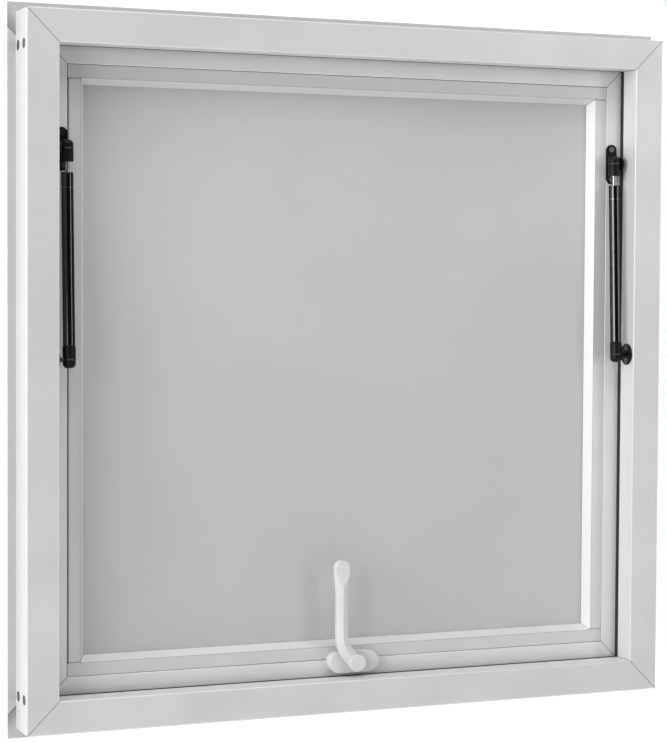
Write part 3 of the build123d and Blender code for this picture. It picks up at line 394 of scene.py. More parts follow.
@dataclass(frozen=True)
class FrameCoating(Extrusion):
    """Coating of the outer frame, with its flange in shade and the seams where the flange laps."""

    tab: float = 30.0 * MM
    tab_start: float = -4.0 * MM
    seam_reach: float = 1.2 * MM
    # Painted shade on the flange, and more on the rails' turned flange ends.
    flange_shade: float = 0.17
    tab_shade: float = 0.0
    screw_depths: tuple[float, float] = (0.0, 0.0)
    screw_height: float = 0.0
    screw_ring: float = 5.2 * MM
    ring_reach: float = 1.9 * MM
    ring_weight: float = 1.6

    def lines(self, x: Value, y: Value, z: Value, inset: Value) -> Value:
        """Mitres on the face, seams on the flange, and the shadow round each corner screw."""
        on_box = inset.between(-0.3 * MM, -0.1 * MM)
        mitre = super().lines(x, y, z, inset) * on_box
        flank = abs(x).between(self.half + 0.1 * MM, self.half + 0.3 * MM)
        lines = mitre + flank * (abs(x) - abs(z)).near(self.tab, self.seam_reach)
        outer_face = abs(x).between(self.half - 0.9 * MM, self.half - 0.6 * MM) - flank
        # Painted shadow ring round each corner screw.
        up = abs(z) - self.screw_height
        for depth in self.screw_depths:
            deep = y - depth
            ring = (up * up + deep * deep).root().near(self.screw_ring, self.ring_reach)
            lines = lines + outer_face * ring * self.ring_weight
        return lines

    def with_painted_light_and_shade(self, graph: Graph, colour: Value, x: Value, z: Value, inset: Value) -> Value:
        """Painted shade: flange darker than the face, and its turned ends darker still."""
        outside = 1.0 - inset.between(-0.8 * MM, -0.1 * MM)
        colour = graph.tint(colour, self.seam_and_shade, outside * self.flange_shade)
        if self.tab_shade > 0.0:
            down = (abs(x) - abs(z)).between(self.tab_start, self.tab)
            colour = graph.tint(colour, self.seam_and_shade, outside * down * self.tab_shade)
        return colour


@dataclass(frozen=True)
class BeadCoating(Extrusion):
    """Coating of a glazing bead, with painted light on its slope towards the panel.

    A butt or a gap shade inset of 0 leaves that line out.
    """

    slope_from: float = 80.0 * MM
    # Painted light on the slope.
    painted_slope_light: Colour = grey(0.685)
    butt: float = 0.0
    gap_shade_inset: float = 0.0
    crease_reach: float = 0.7 * MM
    butt_reach: float = 1.0 * MM
    gap_shade_reach: float = 1.7 * MM

    def lines(self, x: Value, y: Value, z: Value, inset: Value) -> Value:
        """Painted shade along the crease between flat and slope, the slope's mitre, the butt, and painted
        shade along the left bead beside its gap.
        """
        # Painted shade along the crease between flat and slope.
        crease = inset.near(self.slope_from - 0.3 * MM, self.crease_reach) * 0.45
        mitre = super().lines(x, y, z, inset) * 0.5
        lines = crease + mitre * inset.between(self.slope_from - 0.1 * MM, self.slope_from + 0.1 * MM)
        if self.butt > 0.0:
            lines = lines + (self.half - abs(z)).near(self.butt, self.butt_reach) * 0.8
        # Painted shade along the left bead beside its gap.
        if self.gap_shade_inset > 0.0:
            lines = lines + (self.half + x).near(self.gap_shade_inset, self.gap_shade_reach) * 0.9
        return lines

    def with_painted_light_and_shade(self, graph: Graph, colour: Value, x: Value, z: Value, inset: Value) -> Value:
        """Painted light: slope brighter than the flat."""
        slope = inset.between(self.slope_from - 0.1 * MM, self.slope_from + 0.2 * MM)
        return graph.tint(colour, self.painted_slope_light, slope)


@dataclass(frozen=True)
class PaintedSheet(Finish):
    """Matt coil-coated skin of the infill panel, with soft orange peel and a faint roll pattern."""

    light: Colour = grey(0.455)
    shade: Colour = grey(0.43)
    dusty: Colour = grey(0.6)
    roughness: float = 0.5

    def paint(self, graph: Graph) -> None:
        """Builds the skin's soft mottle, roll marks and dust."""
        cloud = graph.noise((4.0, 4.0, 4.0), 5.0)
        peel = graph.noise((260.0, 260.0, 260.0), 2.0)
        roll = graph.noise((1.5, 40.0, 140.0), 2.0)
        dust = 1.0 - graph.cells(420.0).between(0.05, 0.16)
        colour = graph.tint(self.light, self.shade, cloud.between(0.3, 0.7))
        colour = graph.tint(colour, self.shade, roll.between(0.5, 0.75) * 0.2)
        colour = graph.tint(colour, self.dusty, dust * 0.2)
        graph.surface(
            base_color=colour,
            roughness=self.roughness + 0.12 * cloud + 0.06 * roll - 0.06,
            normal=graph.bump(0.7 * peel + 0.3 * roll, 0.05 * MM, 0.35),
        )


@dataclass(frozen=True)
class Rubber(Finish):
    """Extruded sealing rubber, with bloom and fine pores."""

    dark: Colour = grey(0.006)
    bloom: Colour = grey(0.02)

    def paint(self, graph: Graph) -> None:
        """Builds the rubber's bloom, pores and drag lines."""
        cloud = graph.noise((60.0, 60.0, 60.0), 4.0)
        pores = graph.cells(1500.0)
        colour = graph.tint(self.dark, self.bloom, cloud.between(0.45, 0.75))
        height = 0.5 * pores + 0.5 * graph.noise((1300.0, 1300.0, 1300.0), 1.0)
        graph.surface(
            base_color=colour,
            roughness=0.62 + 0.2 * cloud,
            normal=graph.bump(height, 0.06 * MM, 0.5),
        )


@dataclass(frozen=True)
class Casting(Finish):
    """Pressure-cast metal with a skin of shallow flow marks and pits."""

    light: Colour = (0.55, 0.55, 0.56)
    shade: Colour = (0.36, 0.36, 0.38)
    roughness: float = 0.45

    def paint(self, graph: Graph) -> None:
        """Builds the cast skin, its pits and its dull patches."""
        flow = graph.noise((90.0, 90.0, 90.0), 5.0)
        pits = graph.cells(700.0).between(0.0, 0.35)
        colour = graph.tint(self.light, self.shade, flow.between(0.35, 0.7))
        colour = graph.tint(self.shade, colour, 0.35 + 0.65 * pits)
        graph.surface(
            base_color=colour,
            metallic=0.75 + 0.2 * flow,
            roughness=self.roughness + 0.2 * flow - 0.1 * pits,
            normal=graph.bump(0.6 * flow + 0.4 * pits, 0.12 * MM, 0.5),
        )


@dataclass(frozen=True)
class BrightMetal(Finish):
    """Turned, drawn or rolled metal: screws, rivets, studs, hinge leaves, rods and wire."""

    run: Run
    light: Colour = (0.72, 0.72, 0.73)
    shade: Colour = (0.42, 0.42, 0.44)
    roughness: float = 0.26
    lines: float = 2400.0
    relief: float = 0.03 * MM

    def with_painted_shade(self, graph: Graph, colour: Value) -> Value:
        """Colour after painted shade; none on plain metal."""
        return colour

    def paint(self, graph: Graph) -> None:
        """Builds the fine lines along the metal, its tarnish and its rubbed patches."""
        factors = tuple(60.0 if index == self.run.value else self.lines for index in range(3))
        drawn = graph.noise(factors, 3.0)
        tarnish = graph.noise((220.0, 220.0, 220.0), 4.0).between(0.42, 0.72)
        colour = graph.tint(self.light, self.shade, 0.25 * drawn + 0.5 * tarnish)
        graph.surface(
            base_color=self.with_painted_shade(graph, colour),
            metallic=1.0 - 0.12 * tarnish,
            roughness=self.roughness + 0.16 * tarnish + 0.10 * drawn - 0.05,
            normal=graph.bump(drawn, self.relief, 0.45),
        )


@dataclass(frozen=True)
class SunkScrew(BrightMetal):
    """Zinc-plated countersunk screw, with painted shade round its head and in its recess."""

    rim_and_recess_shade: Colour = grey(0.012)
    depths: tuple[float, float] = (0.0, 0.0)
    height: float = 0.0
    bright: float = 3.0 * MM
    recess: float = 1.1 * MM

    def with_painted_shade(self, graph: Graph, colour: Value) -> Value:
        """Colour of the metal, with painted shade in a ring round each head and in its recess."""
        _, y, z = graph.axes()
        up = abs(z) - self.height
        # Painted shade at each head's rim and in its recess.
        dark = 1.0
        for depth in self.depths:
            deep = y - depth
            radius = (up * up + deep * deep).root()
            rim = 1.0 - radius.between(self.recess, self.bright)
            dark = dark - rim.smaller(radius.between(0.0, self.recess))
        return graph.tint(colour, self.rim_and_recess_shade, dark.larger(0.0) * 0.95)


@dataclass(frozen=True)
class BlackCoating(Finish):
    """Black coating over steel: glossy on tubes, satin on plates."""

    base: Colour = grey(0.004)
    # Colour of the rub marks.
    rub_and_highlight: Colour = grey(0.03)
    dusty: Colour = grey(0.1)
    edge: Colour = grey(1.0)
    ring: Colour = grey(0.3)
    roughness: float = 0.16
    coat: float = 0.0
    specular: float = 0.12
    mirror: float = 0.0
    peel_scale: float = 500.0
    ring_height: float = 0.0

    def paint(self, graph: Graph) -> None:
        """Builds the coating's peel, rub marks, a little dust, and a light ring painted round the crimp."""
        cloud = graph.noise((45.0, 45.0, 45.0), 4.0)
        rub = graph.noise((800.0, 800.0, 30.0), 3.0).between(0.6, 0.85)
        peel = graph.noise((self.peel_scale,) * 3, 2.0)
        dust = 1.0 - graph.cells(900.0).between(0.04, 0.12)
        colour = graph.tint(self.base, self.rub_and_highlight, 0.35 * rub + 0.25 * cloud.between(0.5, 0.8))
        colour = graph.tint(colour, self.dusty, dust * 0.12)
        # Light ring painted round the crimp.
        if self.ring_height > 0.0:
            _, _, z = graph.axes()
            colour = graph.tint(colour, self.ring, z.near(self.ring_height, 1.0 * MM) * 0.7)
        graph.surface(
            base_color=colour,
            roughness=self.roughness + 0.12 * rub + 0.08 * cloud + 0.1 * dust - 0.03,
            metallic=self.mirror * (1.0 - 0.15 * rub),
            specular_tint=self.edge,
            specular_ior_level=self.specular,
            coat_weight=self.coat * (1.0 - 0.25 * rub),
            coat_roughness=0.06,
            normal=graph.bump(peel, 0.03 * MM, 0.2),
        )


@dataclass(frozen=True)
class FilledNylon(Finish):
    """Moulded glass-filled nylon, dark and satin, with fine fibre grain."""

    base: Colour = grey(0.006)
    fibre: Colour = grey(0.022)
    roughness: float = 0.3
    specular: float = 0.14

    def paint(self, graph: Graph) -> None:
        """Builds the moulded grain and the fibres that show at its skin."""
        fibres = graph.noise((1800.0, 1800.0, 500.0), 3.0)
        grain = graph.cells(1600.0)
        cloud = graph.noise((120.0, 120.0, 120.0), 3.0)
        colour = graph.tint(self.base, self.fibre, fibres.between(0.5, 0.78) * (0.4 + 0.6 * cloud))
        graph.surface(
            base_color=colour,
            roughness=self.roughness + 0.15 * fibres + 0.08 * cloud - 0.06,
            specular_ior_level=self.specular,
            normal=graph.bump(0.5 * grain + 0.5 * fibres, 0.04 * MM, 0.5),
        )


@dataclass(frozen=True)
class WhiteEnamel(Finish):
    """Satin white stoving enamel over a casting, with a soft peel and rubbed patches."""

    light: Colour = (0.63, 0.63, 0.628)
    shade: Colour = grey(0.59)
    touched: Colour = (0.56, 0.555, 0.545)
    roughness: float = 0.33

    def paint(self, graph: Graph) -> None:
        """Builds the enamel's peel, faint handling marks and gloss changes."""
        cloud = graph.noise((35.0, 35.0, 35.0), 4.0)
        peel = graph.noise((420.0, 420.0, 420.0), 2.0)
        handled = graph.noise((160.0, 160.0, 60.0), 5.0).between(0.52, 0.78)
        colour = graph.tint(self.light, self.shade, cloud.between(0.35, 0.7))
        colour = graph.tint(colour, self.touched, handled * 0.18)
        graph.surface(
            base_color=colour,
            roughness=self.roughness + 0.1 * handled + 0.06 * cloud - 0.03,
            coat_weight=0.25 - 0.12 * handled,
            coat_roughness=0.15,
            normal=graph.bump(peel, 0.04 * MM, 0.4),
        )


# ---- Mesh helpers ----

WELD_REACH = 0.002 * MM
FLAT_ANGLE = math.radians(1.0)
ARRIS_ANGLE = math.radians(50.0)
SHARP_ANGLE = math.radians(32.0)
CORNER_SHARE = 0.45  # most of a side that the curve at one of its ends may take


def centre_of(node: str) -> Vector:
    """Middle of a part's box."""
    low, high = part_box(node)
    return (low + high) / 2


def dress(finish: Finish, *nodes: str) -> None:
    """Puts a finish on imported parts.

    Args:
        finish: The finish.
        nodes: Names of the parts.
    """
    for node in nodes:
        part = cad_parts[node]
        if not part.material_slots:
            part.data.materials.append(finish.material())
        for held in part.material_slots:
            held.material = finish.material()
        log.info("%s: %s", node, finish.name)


def soften(node: str, width: float, segments: int = 2) -> None:
    """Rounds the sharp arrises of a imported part.

    Args:
        node: Name of the part.
        width: Width of the rounding, in metres.
        segments: Steps across the rounding.
    """
    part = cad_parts[node]
    weld = part.modifiers.new("Join corners", "WELD")
    weld.merge_threshold = WELD_REACH
    flat = part.modifiers.new("Flat faces", "DECIMATE")
    flat.decimate_type = "DISSOLVE"
    flat.angle_limit = FLAT_ANGLE
    arris = part.modifiers.new("Arris", "BEVEL")
    arris.width = width
    arris.segments = segments
    arris.limit_method = "ANGLE"
    arris.angle_limit = ARRIS_ANGLE
    arris.harden_normals = True


def lofted(name: str, rings: list[list[Vector]], closed: bool = False) -> bpy.types.Object:
    """Mesh that runs through rings of points, each with as many points as the next.

    Args:
        name: Name of the new piece.
        rings: The rings, in order.
        closed: Whether the last ring joins the first; otherwise both ends are capped.

    Returns:
        The new piece, at the origin.
    """
    shell = bmesh.new()
    rows = [[shell.verts.new(point) for point in ring] for ring in rings]
    pairs = list(zip(rows, rows[1:]))
    if closed:
        pairs.append((rows[-1], rows[0]))
    for near, far in pairs:
        for index in range(len(near)):
            after = (index + 1) % len(near)
            shell.faces.new((near[index], near[after], far[after], far[index]))
    if not closed:
        shell.faces.new(rows[0][::-1])
        shell.faces.new(rows[-1])
    bmesh.ops.recalc_face_normals(shell, faces=shell.faces)
    mesh = bpy.data.meshes.new(name)
    shell.to_mesh(mesh)
    shell.free()
    mesh.shade_smooth()
    mesh.set_sharp_from_angle(angle=SHARP_ANGLE)
    piece = bpy.data.objects.new(name, mesh)
    bpy.context.scene.collection.objects.link(piece)
    return piece


def joined(name: str, parts: list[bpy.types.Object]) -> bpy.types.Object:
    """One piece made of several shells.

    Args:
        name: Name of the whole.
        parts: The shells, all at the origin; they are used up.

    Returns:
        The piece.
    """
    whole = bmesh.new()
    for part in parts:
        whole.from_mesh(part.data)
        bpy.data.objects.remove(part)
    mesh = bpy.data.meshes.new(name)
    whole.to_mesh(mesh)
    whole.free()
    piece = bpy.data.objects.new(name, mesh)
    bpy.context.scene.collection.objects.link(piece)
    return piece


def rounded(outline: list[tuple[float, float]], radii: list[float], steps: int) -> list[tuple[float, float]]:
    """Closed outline with each corner turned into a short curve.

    Args:
        outline: Corners, in order.
        radii: How far from each corner its curve starts.
        steps: Points on each curve, less one.

    Returns:
        The points of the rounded outline.
    """
    points = []
    count = len(outline)
    for index, (corner, radius) in enumerate(zip(outline, radii)):
        here = Vector(corner)
        before = Vector(outline[index - 1])
        after = Vector(outline[(index + 1) % count])
        start = here + (before - here).normalized() * min(radius, (before - here).length * CORNER_SHARE)
        end = here + (after - here).normalized() * min(radius, (after - here).length * CORNER_SHARE)
        for step in range(steps + 1):
            t = step / steps
            point = start * (1 - t) ** 2 + here * (2 * t * (1 - t)) + end * t**2
            points.append((point.x, point.y))
    return points


def interpolated(stations: list[tuple[float, ...]], count: int) -> list[tuple[float, ...]]:
    """Rows of numbers along a smooth curve through given rows.

    Args:
        stations: The given rows.
        count: Rows wanted between each pair.

    Returns:
        The rows, ends included.
    """
    rows = []
    for index in range(len(stations) - 1):
        a = stations[max(index - 1, 0)]
        b, c = stations[index], stations[index + 1]
        d = stations[min(index + 2, len(stations) - 1)]
        for step in range(count):
            t = step / count
            rows.append(
                tuple(
                    0.5 * (2 * q + (r - p) * t + (2 * p - 5 * q + 4 * r - s) * t**2
                           + (3 * q - p - 3 * r + s) * t**3)
                    for p, q, r, s in zip(a, b, c, d)
                )
            )
    rows.append(stations[-1])
    return rows


# ---- Sub-assemblies ----


@dataclass
class OuterFrame:
    """The fixed frame: four mitred members, its corner keys, screws, seal and head hinge leaf."""

    arris: float = 0.25 * MM
    face_width: float = 41.0 * MM
    # Inset of the painted arris highlights from each edge of the face.
    highlight_inset: float = 0.4 * MM
    screw_head: float = 4.6 * MM
    # Painted shade on the rails' turned flange ends.
    tab_shade: float = 0.5

    def build(self) -> None:
        """Softens the arrises of the members."""
        for name in ("frame_top_rail", "frame_bottom_rail", "frame_left_stile", "frame_right_stile"):
            soften(name, self.arris)

    def dress(self) -> None:
        """Coats the members and finishes the fittings."""
        low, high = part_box("frame_corner_screws")
        depths = (low.y + self.screw_head, high.y - self.screw_head)
        height = high.z - self.screw_head
        for run, names, tab_shade in (
            (Run.ACROSS, ("frame_top_rail", "frame_bottom_rail"), self.tab_shade),
            (Run.UPRIGHT, ("frame_left_stile", "frame_right_stile"), 0.0),
        ):
            finish = FrameCoating(
                f"frame_coating_{run.name.lower()}",
                run,
                arrises=(self.highlight_inset, self.face_width - self.highlight_inset),
                tab_shade=tab_shade,
                screw_depths=depths,
                screw_height=height,
            )
            dress(finish, *names)
        dress(Casting("frame_key_casting"), "frame_corner_keys")
        dress(BrightMetal("angle_steel", Run.UPRIGHT, roughness=0.34), "frame_corner_angles")
        dress(SunkScrew("screw_steel", Run.ACROSS, depths=depths, height=height), "frame_corner_screws")
        dress(Rubber("seal_rubber"), "frame_seal")
        dress(BrightMetal("hinge_leaf_metal", Run.ACROSS, roughness=0.36), "hinge_frame_leaf")
        dress(BrightMetal("rivet_metal", Run.DEEP, roughness=0.32), "hinge_frame_rivets")
        dress(BrightMetal("keeper_steel", Run.ACROSS, roughness=0.3), "latch_keeper")
        dress(BrightMetal("keeper_screw_steel", Run.UPRIGHT), "keeper_screws")


@dataclass
class Sash:
    """The opening sash: four mitred members, glazing beads, infill panel, keys and hinge leaf."""

    arris: float = 0.22 * MM
    bead_gap: float = 62.5 * MM
    # Inset of the painted highlight along the sash's inner arris.
    highlight_inset: float = 0.4 * MM
    bead_butt: float = 0.5 * MM
    # Inset of the painted shade on the left bead beside its gap.
    gap_shade_from: float = 64.0 * MM
    bead_slope: float = 80.0 * MM

    def build(self) -> None:
        """Softens the arrises of the members and beads."""
        for side in ("top", "bottom"):
            soften(f"sash_{side}_rail", self.arris)
            soften(f"{side}_glazing_bead", self.arris)
        for side in ("left", "right"):
            soften(f"sash_{side}_stile", self.arris)
            soften(f"{side}_glazing_bead", self.arris)

    def dress(self) -> None:
        """Coats the members and beads and finishes the rest."""
        for run, names in (
            (Run.ACROSS, ("sash_top_rail", "sash_bottom_rail")),
            (Run.UPRIGHT, ("sash_left_stile", "sash_right_stile")),
        ):
            finish = Extrusion(
                f"sash_coating_{run.name.lower()}",
                run,
                light=grey(0.725),
                shade=grey(0.685),
                arrises=(self.bead_gap - self.highlight_inset,),
            )
            dress(finish, *names)
        for run, names, butt, gap_shade_inset in (
            (Run.ACROSS, ("top_glazing_bead", "bottom_glazing_bead"), 0.0, 0.0),
            (
                Run.UPRIGHT,
                ("left_glazing_bead", "right_glazing_bead"),
                self.bead_slope + self.bead_butt,
                self.gap_shade_from,
            ),
        ):
            finish = BeadCoating(
                f"bead_coating_{run.name.lower()}",
                run,
                light=grey(0.61),
                shade=grey(0.575),
                slope_from=self.bead_slope,
                butt=butt,
                gap_shade_inset=gap_shade_inset,
            )
            dress(finish, *names)
        dress(PaintedSheet("panel_coating"), "infill_panel")
        gasket = Rubber("bead_gasket_rubber", dark=(0.16, 0.16, 0.165), bloom=(0.26, 0.26, 0.27))
        dress(gasket, "bead_gaskets")
        tape = Rubber("panel_tape_foam", dark=(0.14, 0.14, 0.145), bloom=(0.22, 0.22, 0.23))
        dress(tape, "panel_tape")
        dress(Casting("sash_key_casting"), "sash_corner_keys")
        dress(BrightMetal("sash_leaf_metal", Run.ACROSS, roughness=0.36), "hinge_sash_leaf")
        dress(BrightMetal("sash_rivet_metal", Run.DEEP, roughness=0.32), "hinge_sash_rivets")


@dataclass
class StrutSet:
    """Two gas struts with their ball studs, sockets, clips, brackets and plates."""

    plate_arris: float = 0.35 * MM
    crimp_drop: float = 18.6 * MM

    def build(self) -> None:
        """Softens the edges of the pressed brackets."""
        for hand in Hand:
            soften(f"{hand.value}_upper_bracket", self.plate_arris, 3)

    def dress(self) -> None:
        """Puts finishes on both struts and their mountings."""
        _, tube_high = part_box("left_strut_tube")
        gloss = BlackCoating(
            "tube_black_gloss",
            base=grey(0.08),
            edge=grey(0.1),
            mirror=1.0,
            ring_height=tube_high.z - self.crimp_drop,
        )
        satin = BlackCoating("plate_black_satin", roughness=0.36, coat=0.1, peel_scale=900.0)
        nylon = FilledNylon("socket_nylon")
        chrome = BrightMetal(
            "rod_chrome", Run.UPRIGHT, light=(0.42, 0.42, 0.43), shade=(0.25, 0.25, 0.26), roughness=0.12
        )
        inner = BrightMetal("strut_inner_metal", Run.UPRIGHT, roughness=0.35)
        wire = BrightMetal("clip_wire", Run.ACROSS, light=(0.1, 0.1, 0.105), shade=grey(0.03))
        stud = BrightMetal(
            "stud_steel_black", Run.ACROSS, light=grey(0.06), shade=grey(0.02), roughness=0.3
        )
        screw = BrightMetal(
            "strut_screw_steel", Run.UPRIGHT, light=grey(0.2), shade=grey(0.05), roughness=0.2
        )
        for hand in Hand:
            side = hand.value
            dress(gloss, f"{side}_strut_tube")
            dress(chrome, f"{side}_strut_rod")
            dress(inner, f"{side}_strut_piston", f"{side}_rod_guide")
            dress(nylon, f"{side}_upper_socket", f"{side}_lower_socket")
            dress(wire, f"{side}_upper_clip", f"{side}_lower_clip")
            dress(stud, f"{side}_lower_ball_stud")
            dress(satin, f"{side}_upper_bracket", f"{side}_lower_plate")
        dress(stud, "upper_ball_studs")
        dress(screw, "upper_bracket_screws", "lower_plate_screws")


@dataclass
class LeverHandle:
    """Cast lever with a ridged grip, on a stadium rosette, with its spindle and latch tongue."""

    hub_radius: float = 11.5 * MM
    facet_radius: float = 10.5 * MM
    neck_radius: float = 6.5 * MM
    cover_rounding: float = 1.3 * MM
    cover_wall: float = 1.6 * MM
    bar_setback: float = 0.25 * MM
    turned_count: int = 72
    stadium_count: int = 48
    # Centre of the bar right of and above the hub, its half width, the half width of the flat on
    # its front, how far the shoulders fall back from the front, and how far the front itself
    # falls back, all in millimetres.
    stations: list[tuple[float, ...]] = field(
        default_factory=lambda: [
            (-1.0, 1.0, 10.2, 0.5, 2.8, 0.5),
            (-7.0, 7.0, 9.9, 0.5, 2.9, 0.4),
            (-13.0, 14.0, 9.4, 0.5, 2.9, 0.2),
            (-17.6, 21.5, 8.9, 0.5, 2.9, 0.0),
            (-20.3, 30.0, 8.6, 0.5, 2.9, 0.0),
            (-21.2, 42.0, 8.4, 0.5, 2.9, 0.0),
            (-21.3, 58.0, 8.2, 0.5, 2.9, 0.0),
            (-21.2, 76.0, 8.1, 0.5, 2.9, 0.1),
            (-21.2, 92.0, 8.3, 0.5, 2.9, 0.3),
            (-21.3, 102.0, 9.0, 0.9, 2.7, 0.8),
            (-21.4, 111.0, 9.9, 7.2, 2.2, 1.1),
            (-21.6, 119.0, 10.6, 9.2, 1.7, 1.2),
            (-21.6, 125.4, 10.9, 9.5, 1.7, 1.2),
        ]
    )
    made: list[bpy.types.Object] = field(default_factory=list)

    def section(self, row: tuple[float, ...], thick: float, narrow: float = 1.0) -> list[tuple[float, float]]:
        """Section of the bar, across and back from the front of the lever.

        Args:
            row: One station of the bar.
            thick: Depth of the bar, in millimetres.
            narrow: Share of the station's width, for the round end.

        Returns:
            The section's points, in millimetres.
        """
        _, _, half, flat, fall, back = row
        half, flat = half * narrow, flat * narrow
        fall = back + fall * (0.4 + 0.6 * narrow)
        outline = [
            (-flat, back),
            (flat, back),
            (half - 0.7, fall),
            (half, fall + 1.8),
            (half - 0.1, thick - 1.5),
            (half - 1.5, thick),
            (1.5 - half, thick),
            (0.1 - half, thick - 1.5),
            (-half, fall + 1.8),
            (0.7 - half, fall),
        ]
        if narrow < 0.35:
            outline = [(across * 0.999, deep) for across, deep in outline]
        radii = [0.5, 0.5, 1.0, 1.0, 1.2, 1.2, 1.2, 1.2, 1.0, 1.0]
        return rounded(outline, radii, 4)

    def bar(self, hub: Vector, front: float, thick: float) -> bpy.types.Object:
        """Lofts the bar from the hub to its round tip.

        Args:
            hub: A point on the spindle's axis.
            front: Depth of the lever's front.
            thick: Depth of the lever.

        Returns:
            The bar.
        """
        rows = interpolated(self.stations, 5)
        tip = self.stations[-1]
        sections = []
        for index, row in enumerate(rows):
            before, after = rows[max(index - 1, 0)], rows[min(index + 1, len(rows) - 1)]
            ahead = Vector((after[0] - before[0], after[1] - before[1])).normalized()
            sections.append((Vector(row[:2]), ahead, self.section(row, thick / MM)))
        for step in range(1, 10):
            turn = math.pi / 2 * step / 9.35
            narrow = math.cos(turn)
            centre = Vector(tip[:2]) + Vector((0.0, tip[2] * math.sin(turn)))
            sections.append((centre, Vector((0.0, 1.0)), self.section(tip, thick / MM, narrow)))
        rings = []
        for centre, ahead, outline in sections:
            across = Vector((ahead.y, -ahead.x))
            ring = []
            for side, deep in outline:
                flat = centre + across * side
                ring.append(Vector((hub.x + flat.x * MM, front + deep * MM, hub.z + flat.y * MM)))
            rings.append(ring)
        return lofted("lever_bar", rings)

    def turned(self, name: str, hub: Vector, profile: list[tuple[float, float]]) -> bpy.types.Object:
        """Turns a profile about the spindle's axis.

        Args:
            name: Name of the piece.
            hub: A point on the axis.
            profile: Radius and depth of each point, in metres.

        Returns:
            The turned piece.
        """
        rings = []
        for radius, deep in profile:
            ring = []
            for index in range(self.turned_count):
                turn = 2 * math.pi * index / self.turned_count
                ring.append(Vector((hub.x + radius * math.cos(turn), deep, hub.z + radius * math.sin(turn))))
            rings.append(ring)
        return lofted(name, rings)

    def lever(self) -> None:
        """Builds the lever: bar, hub and neck."""
        low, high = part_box("lever")
        hub = centre_of("spindle")
        front = low.y
        cover_low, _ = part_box("rosette_cover")
        back = cover_low.y - 1.5 * MM
        bar = self.bar(hub, front + self.bar_setback, back - front - self.bar_setback)
        rim = self.hub_radius - self.facet_radius
        arc = [
            (self.facet_radius + rim * math.sin(turn), front + rim * (1 - math.cos(turn)))
            for turn in (math.radians(15.0 * step) for step in range(7))
        ]
        skirt = [
            (self.hub_radius, back - 2.0 * MM),
            (self.hub_radius - 0.6 * MM, back - 0.6 * MM),
            (self.hub_radius - 2.0 * MM, back),
            (self.neck_radius, back),
            (self.neck_radius, high.y),
        ]
        hub_shell = self.turned("lever_hub", hub, [(0.5 * MM, front), *arc, *skirt])
        piece = joined("cast_lever", [bar, hub_shell])
        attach(piece, "handle")
        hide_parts("lever")
        self.made.append(piece)
        log.info("%s: %d points", piece.name, len(piece.data.vertices))

    def stadium(self, centre: Vector, length: float, width: float, deep: float) -> list[Vector]:
        """Ring of points round a stadium that lies across the handle.

        Args:
            centre: Middle of the stadium.
            length: Overall length.
            width: Overall width.
            deep: Depth of the ring.

        Returns:
            The ring.
        """
        radius = width / 2
        reach = length / 2 - radius
        ring = []
        for index in range(self.stadium_count):
            turn = 2 * math.pi * (index + 0.5) / self.stadium_count
            side = reach if math.cos(turn) > 0 else -reach
            ring.append(
                Vector((centre.x + side + radius * math.cos(turn), deep, centre.z + radius * math.sin(turn)))
            )
        return ring

    def cover(self) -> None:
        """Builds the rosette's cover, a hollow stadium with a full round edge."""
        low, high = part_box("rosette_cover")
        centre = centre_of("rosette_cover")
        length, width = high.x - low.x, high.z - low.z
        round_to = self.cover_rounding
        inner = self.cover_wall
        hole = self.neck_radius + 0.2 * MM
        profile = [(0.25 * MM, high.y), (0.0, high.y - 0.3 * MM), (0.05 * MM, low.y + round_to + 0.4 * MM)]
        for step in range(9):
            turn = math.radians(90.0 * step / 8)
            inset = 0.1 * MM + (round_to - 0.1 * MM) * (1 - math.cos(turn))
            profile.append((inset, low.y + round_to * (1 - math.sin(turn))))
        rings = [self.stadium(centre, length - 2 * i, width - 2 * i, deep) for i, deep in profile]
        spot = centre_of("spindle")
        for deep in (low.y, low.y + inner):
            ring = []
            for point in rings[0]:
                ray = Vector((point.x - spot.x, 0.0, point.z - spot.z)).normalized()
                ring.append(Vector((spot.x + ray.x * hole, deep, spot.z + ray.z * hole)))
            rings.append(ring)
        inside = ((inner + round_to, low.y + inner), (inner, low.y + inner + round_to), (inner, high.y))
        for inset, deep in inside:
            rings.append(self.stadium(centre, length - 2 * inset, width - 2 * inset, deep))
        piece = lofted("rosette_shell", rings, closed=True)
        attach(piece, "sash")
        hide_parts("rosette_cover")
        self.made.append(piece)
        log.info("%s: %d points", piece.name, len(piece.data.vertices))

    def build(self) -> None:
        """Builds the lever and the rosette's cover."""
        self.lever()
        self.cover()

    def dress(self) -> None:
        """Enamels the lever and cover and finishes the works behind them."""
        enamel = WhiteEnamel("handle_enamel")
        for piece in self.made:
            piece.data.materials.append(enamel.material())
        dress(enamel, "lever", "rosette_cover")
        dress(BrightMetal("spindle_steel", Run.DEEP, roughness=0.3), "spindle")
        dress(BrightMetal("tongue_steel", Run.UPRIGHT, roughness=0.32), "latch_tongue")
        dress(BrightMetal("tongue_screw_steel", Run.DEEP), "tongue_screw")
        dress(Casting("rosette_base_casting"), "rosette_base")
        dress(BrightMetal("rosette_screw_steel", Run.DEEP), "rosette_screws")


@dataclass
class Lamp:
    """One soft rectangular studio lamp."""

    name: str
    place: Vector
    target: Vector
    width: float
    height: float
    watts: float

    def build(self) -> None:
        """Adds the lamp to the scene."""
        lamp = bpy.data.lights.new(self.name, "AREA")
        lamp.shape = "RECTANGLE"
        lamp.size = self.width
        lamp.size_y = self.height
        lamp.energy = self.watts
        holder = bpy.data.objects.new(self.name, lamp)
        holder.location = self.place
        holder.rotation_mode = "QUATERNION"
        holder.rotation_quaternion = (self.target - self.place).to_track_quat("-Z", "Y")
        bpy.context.scene.collection.objects.link(holder)


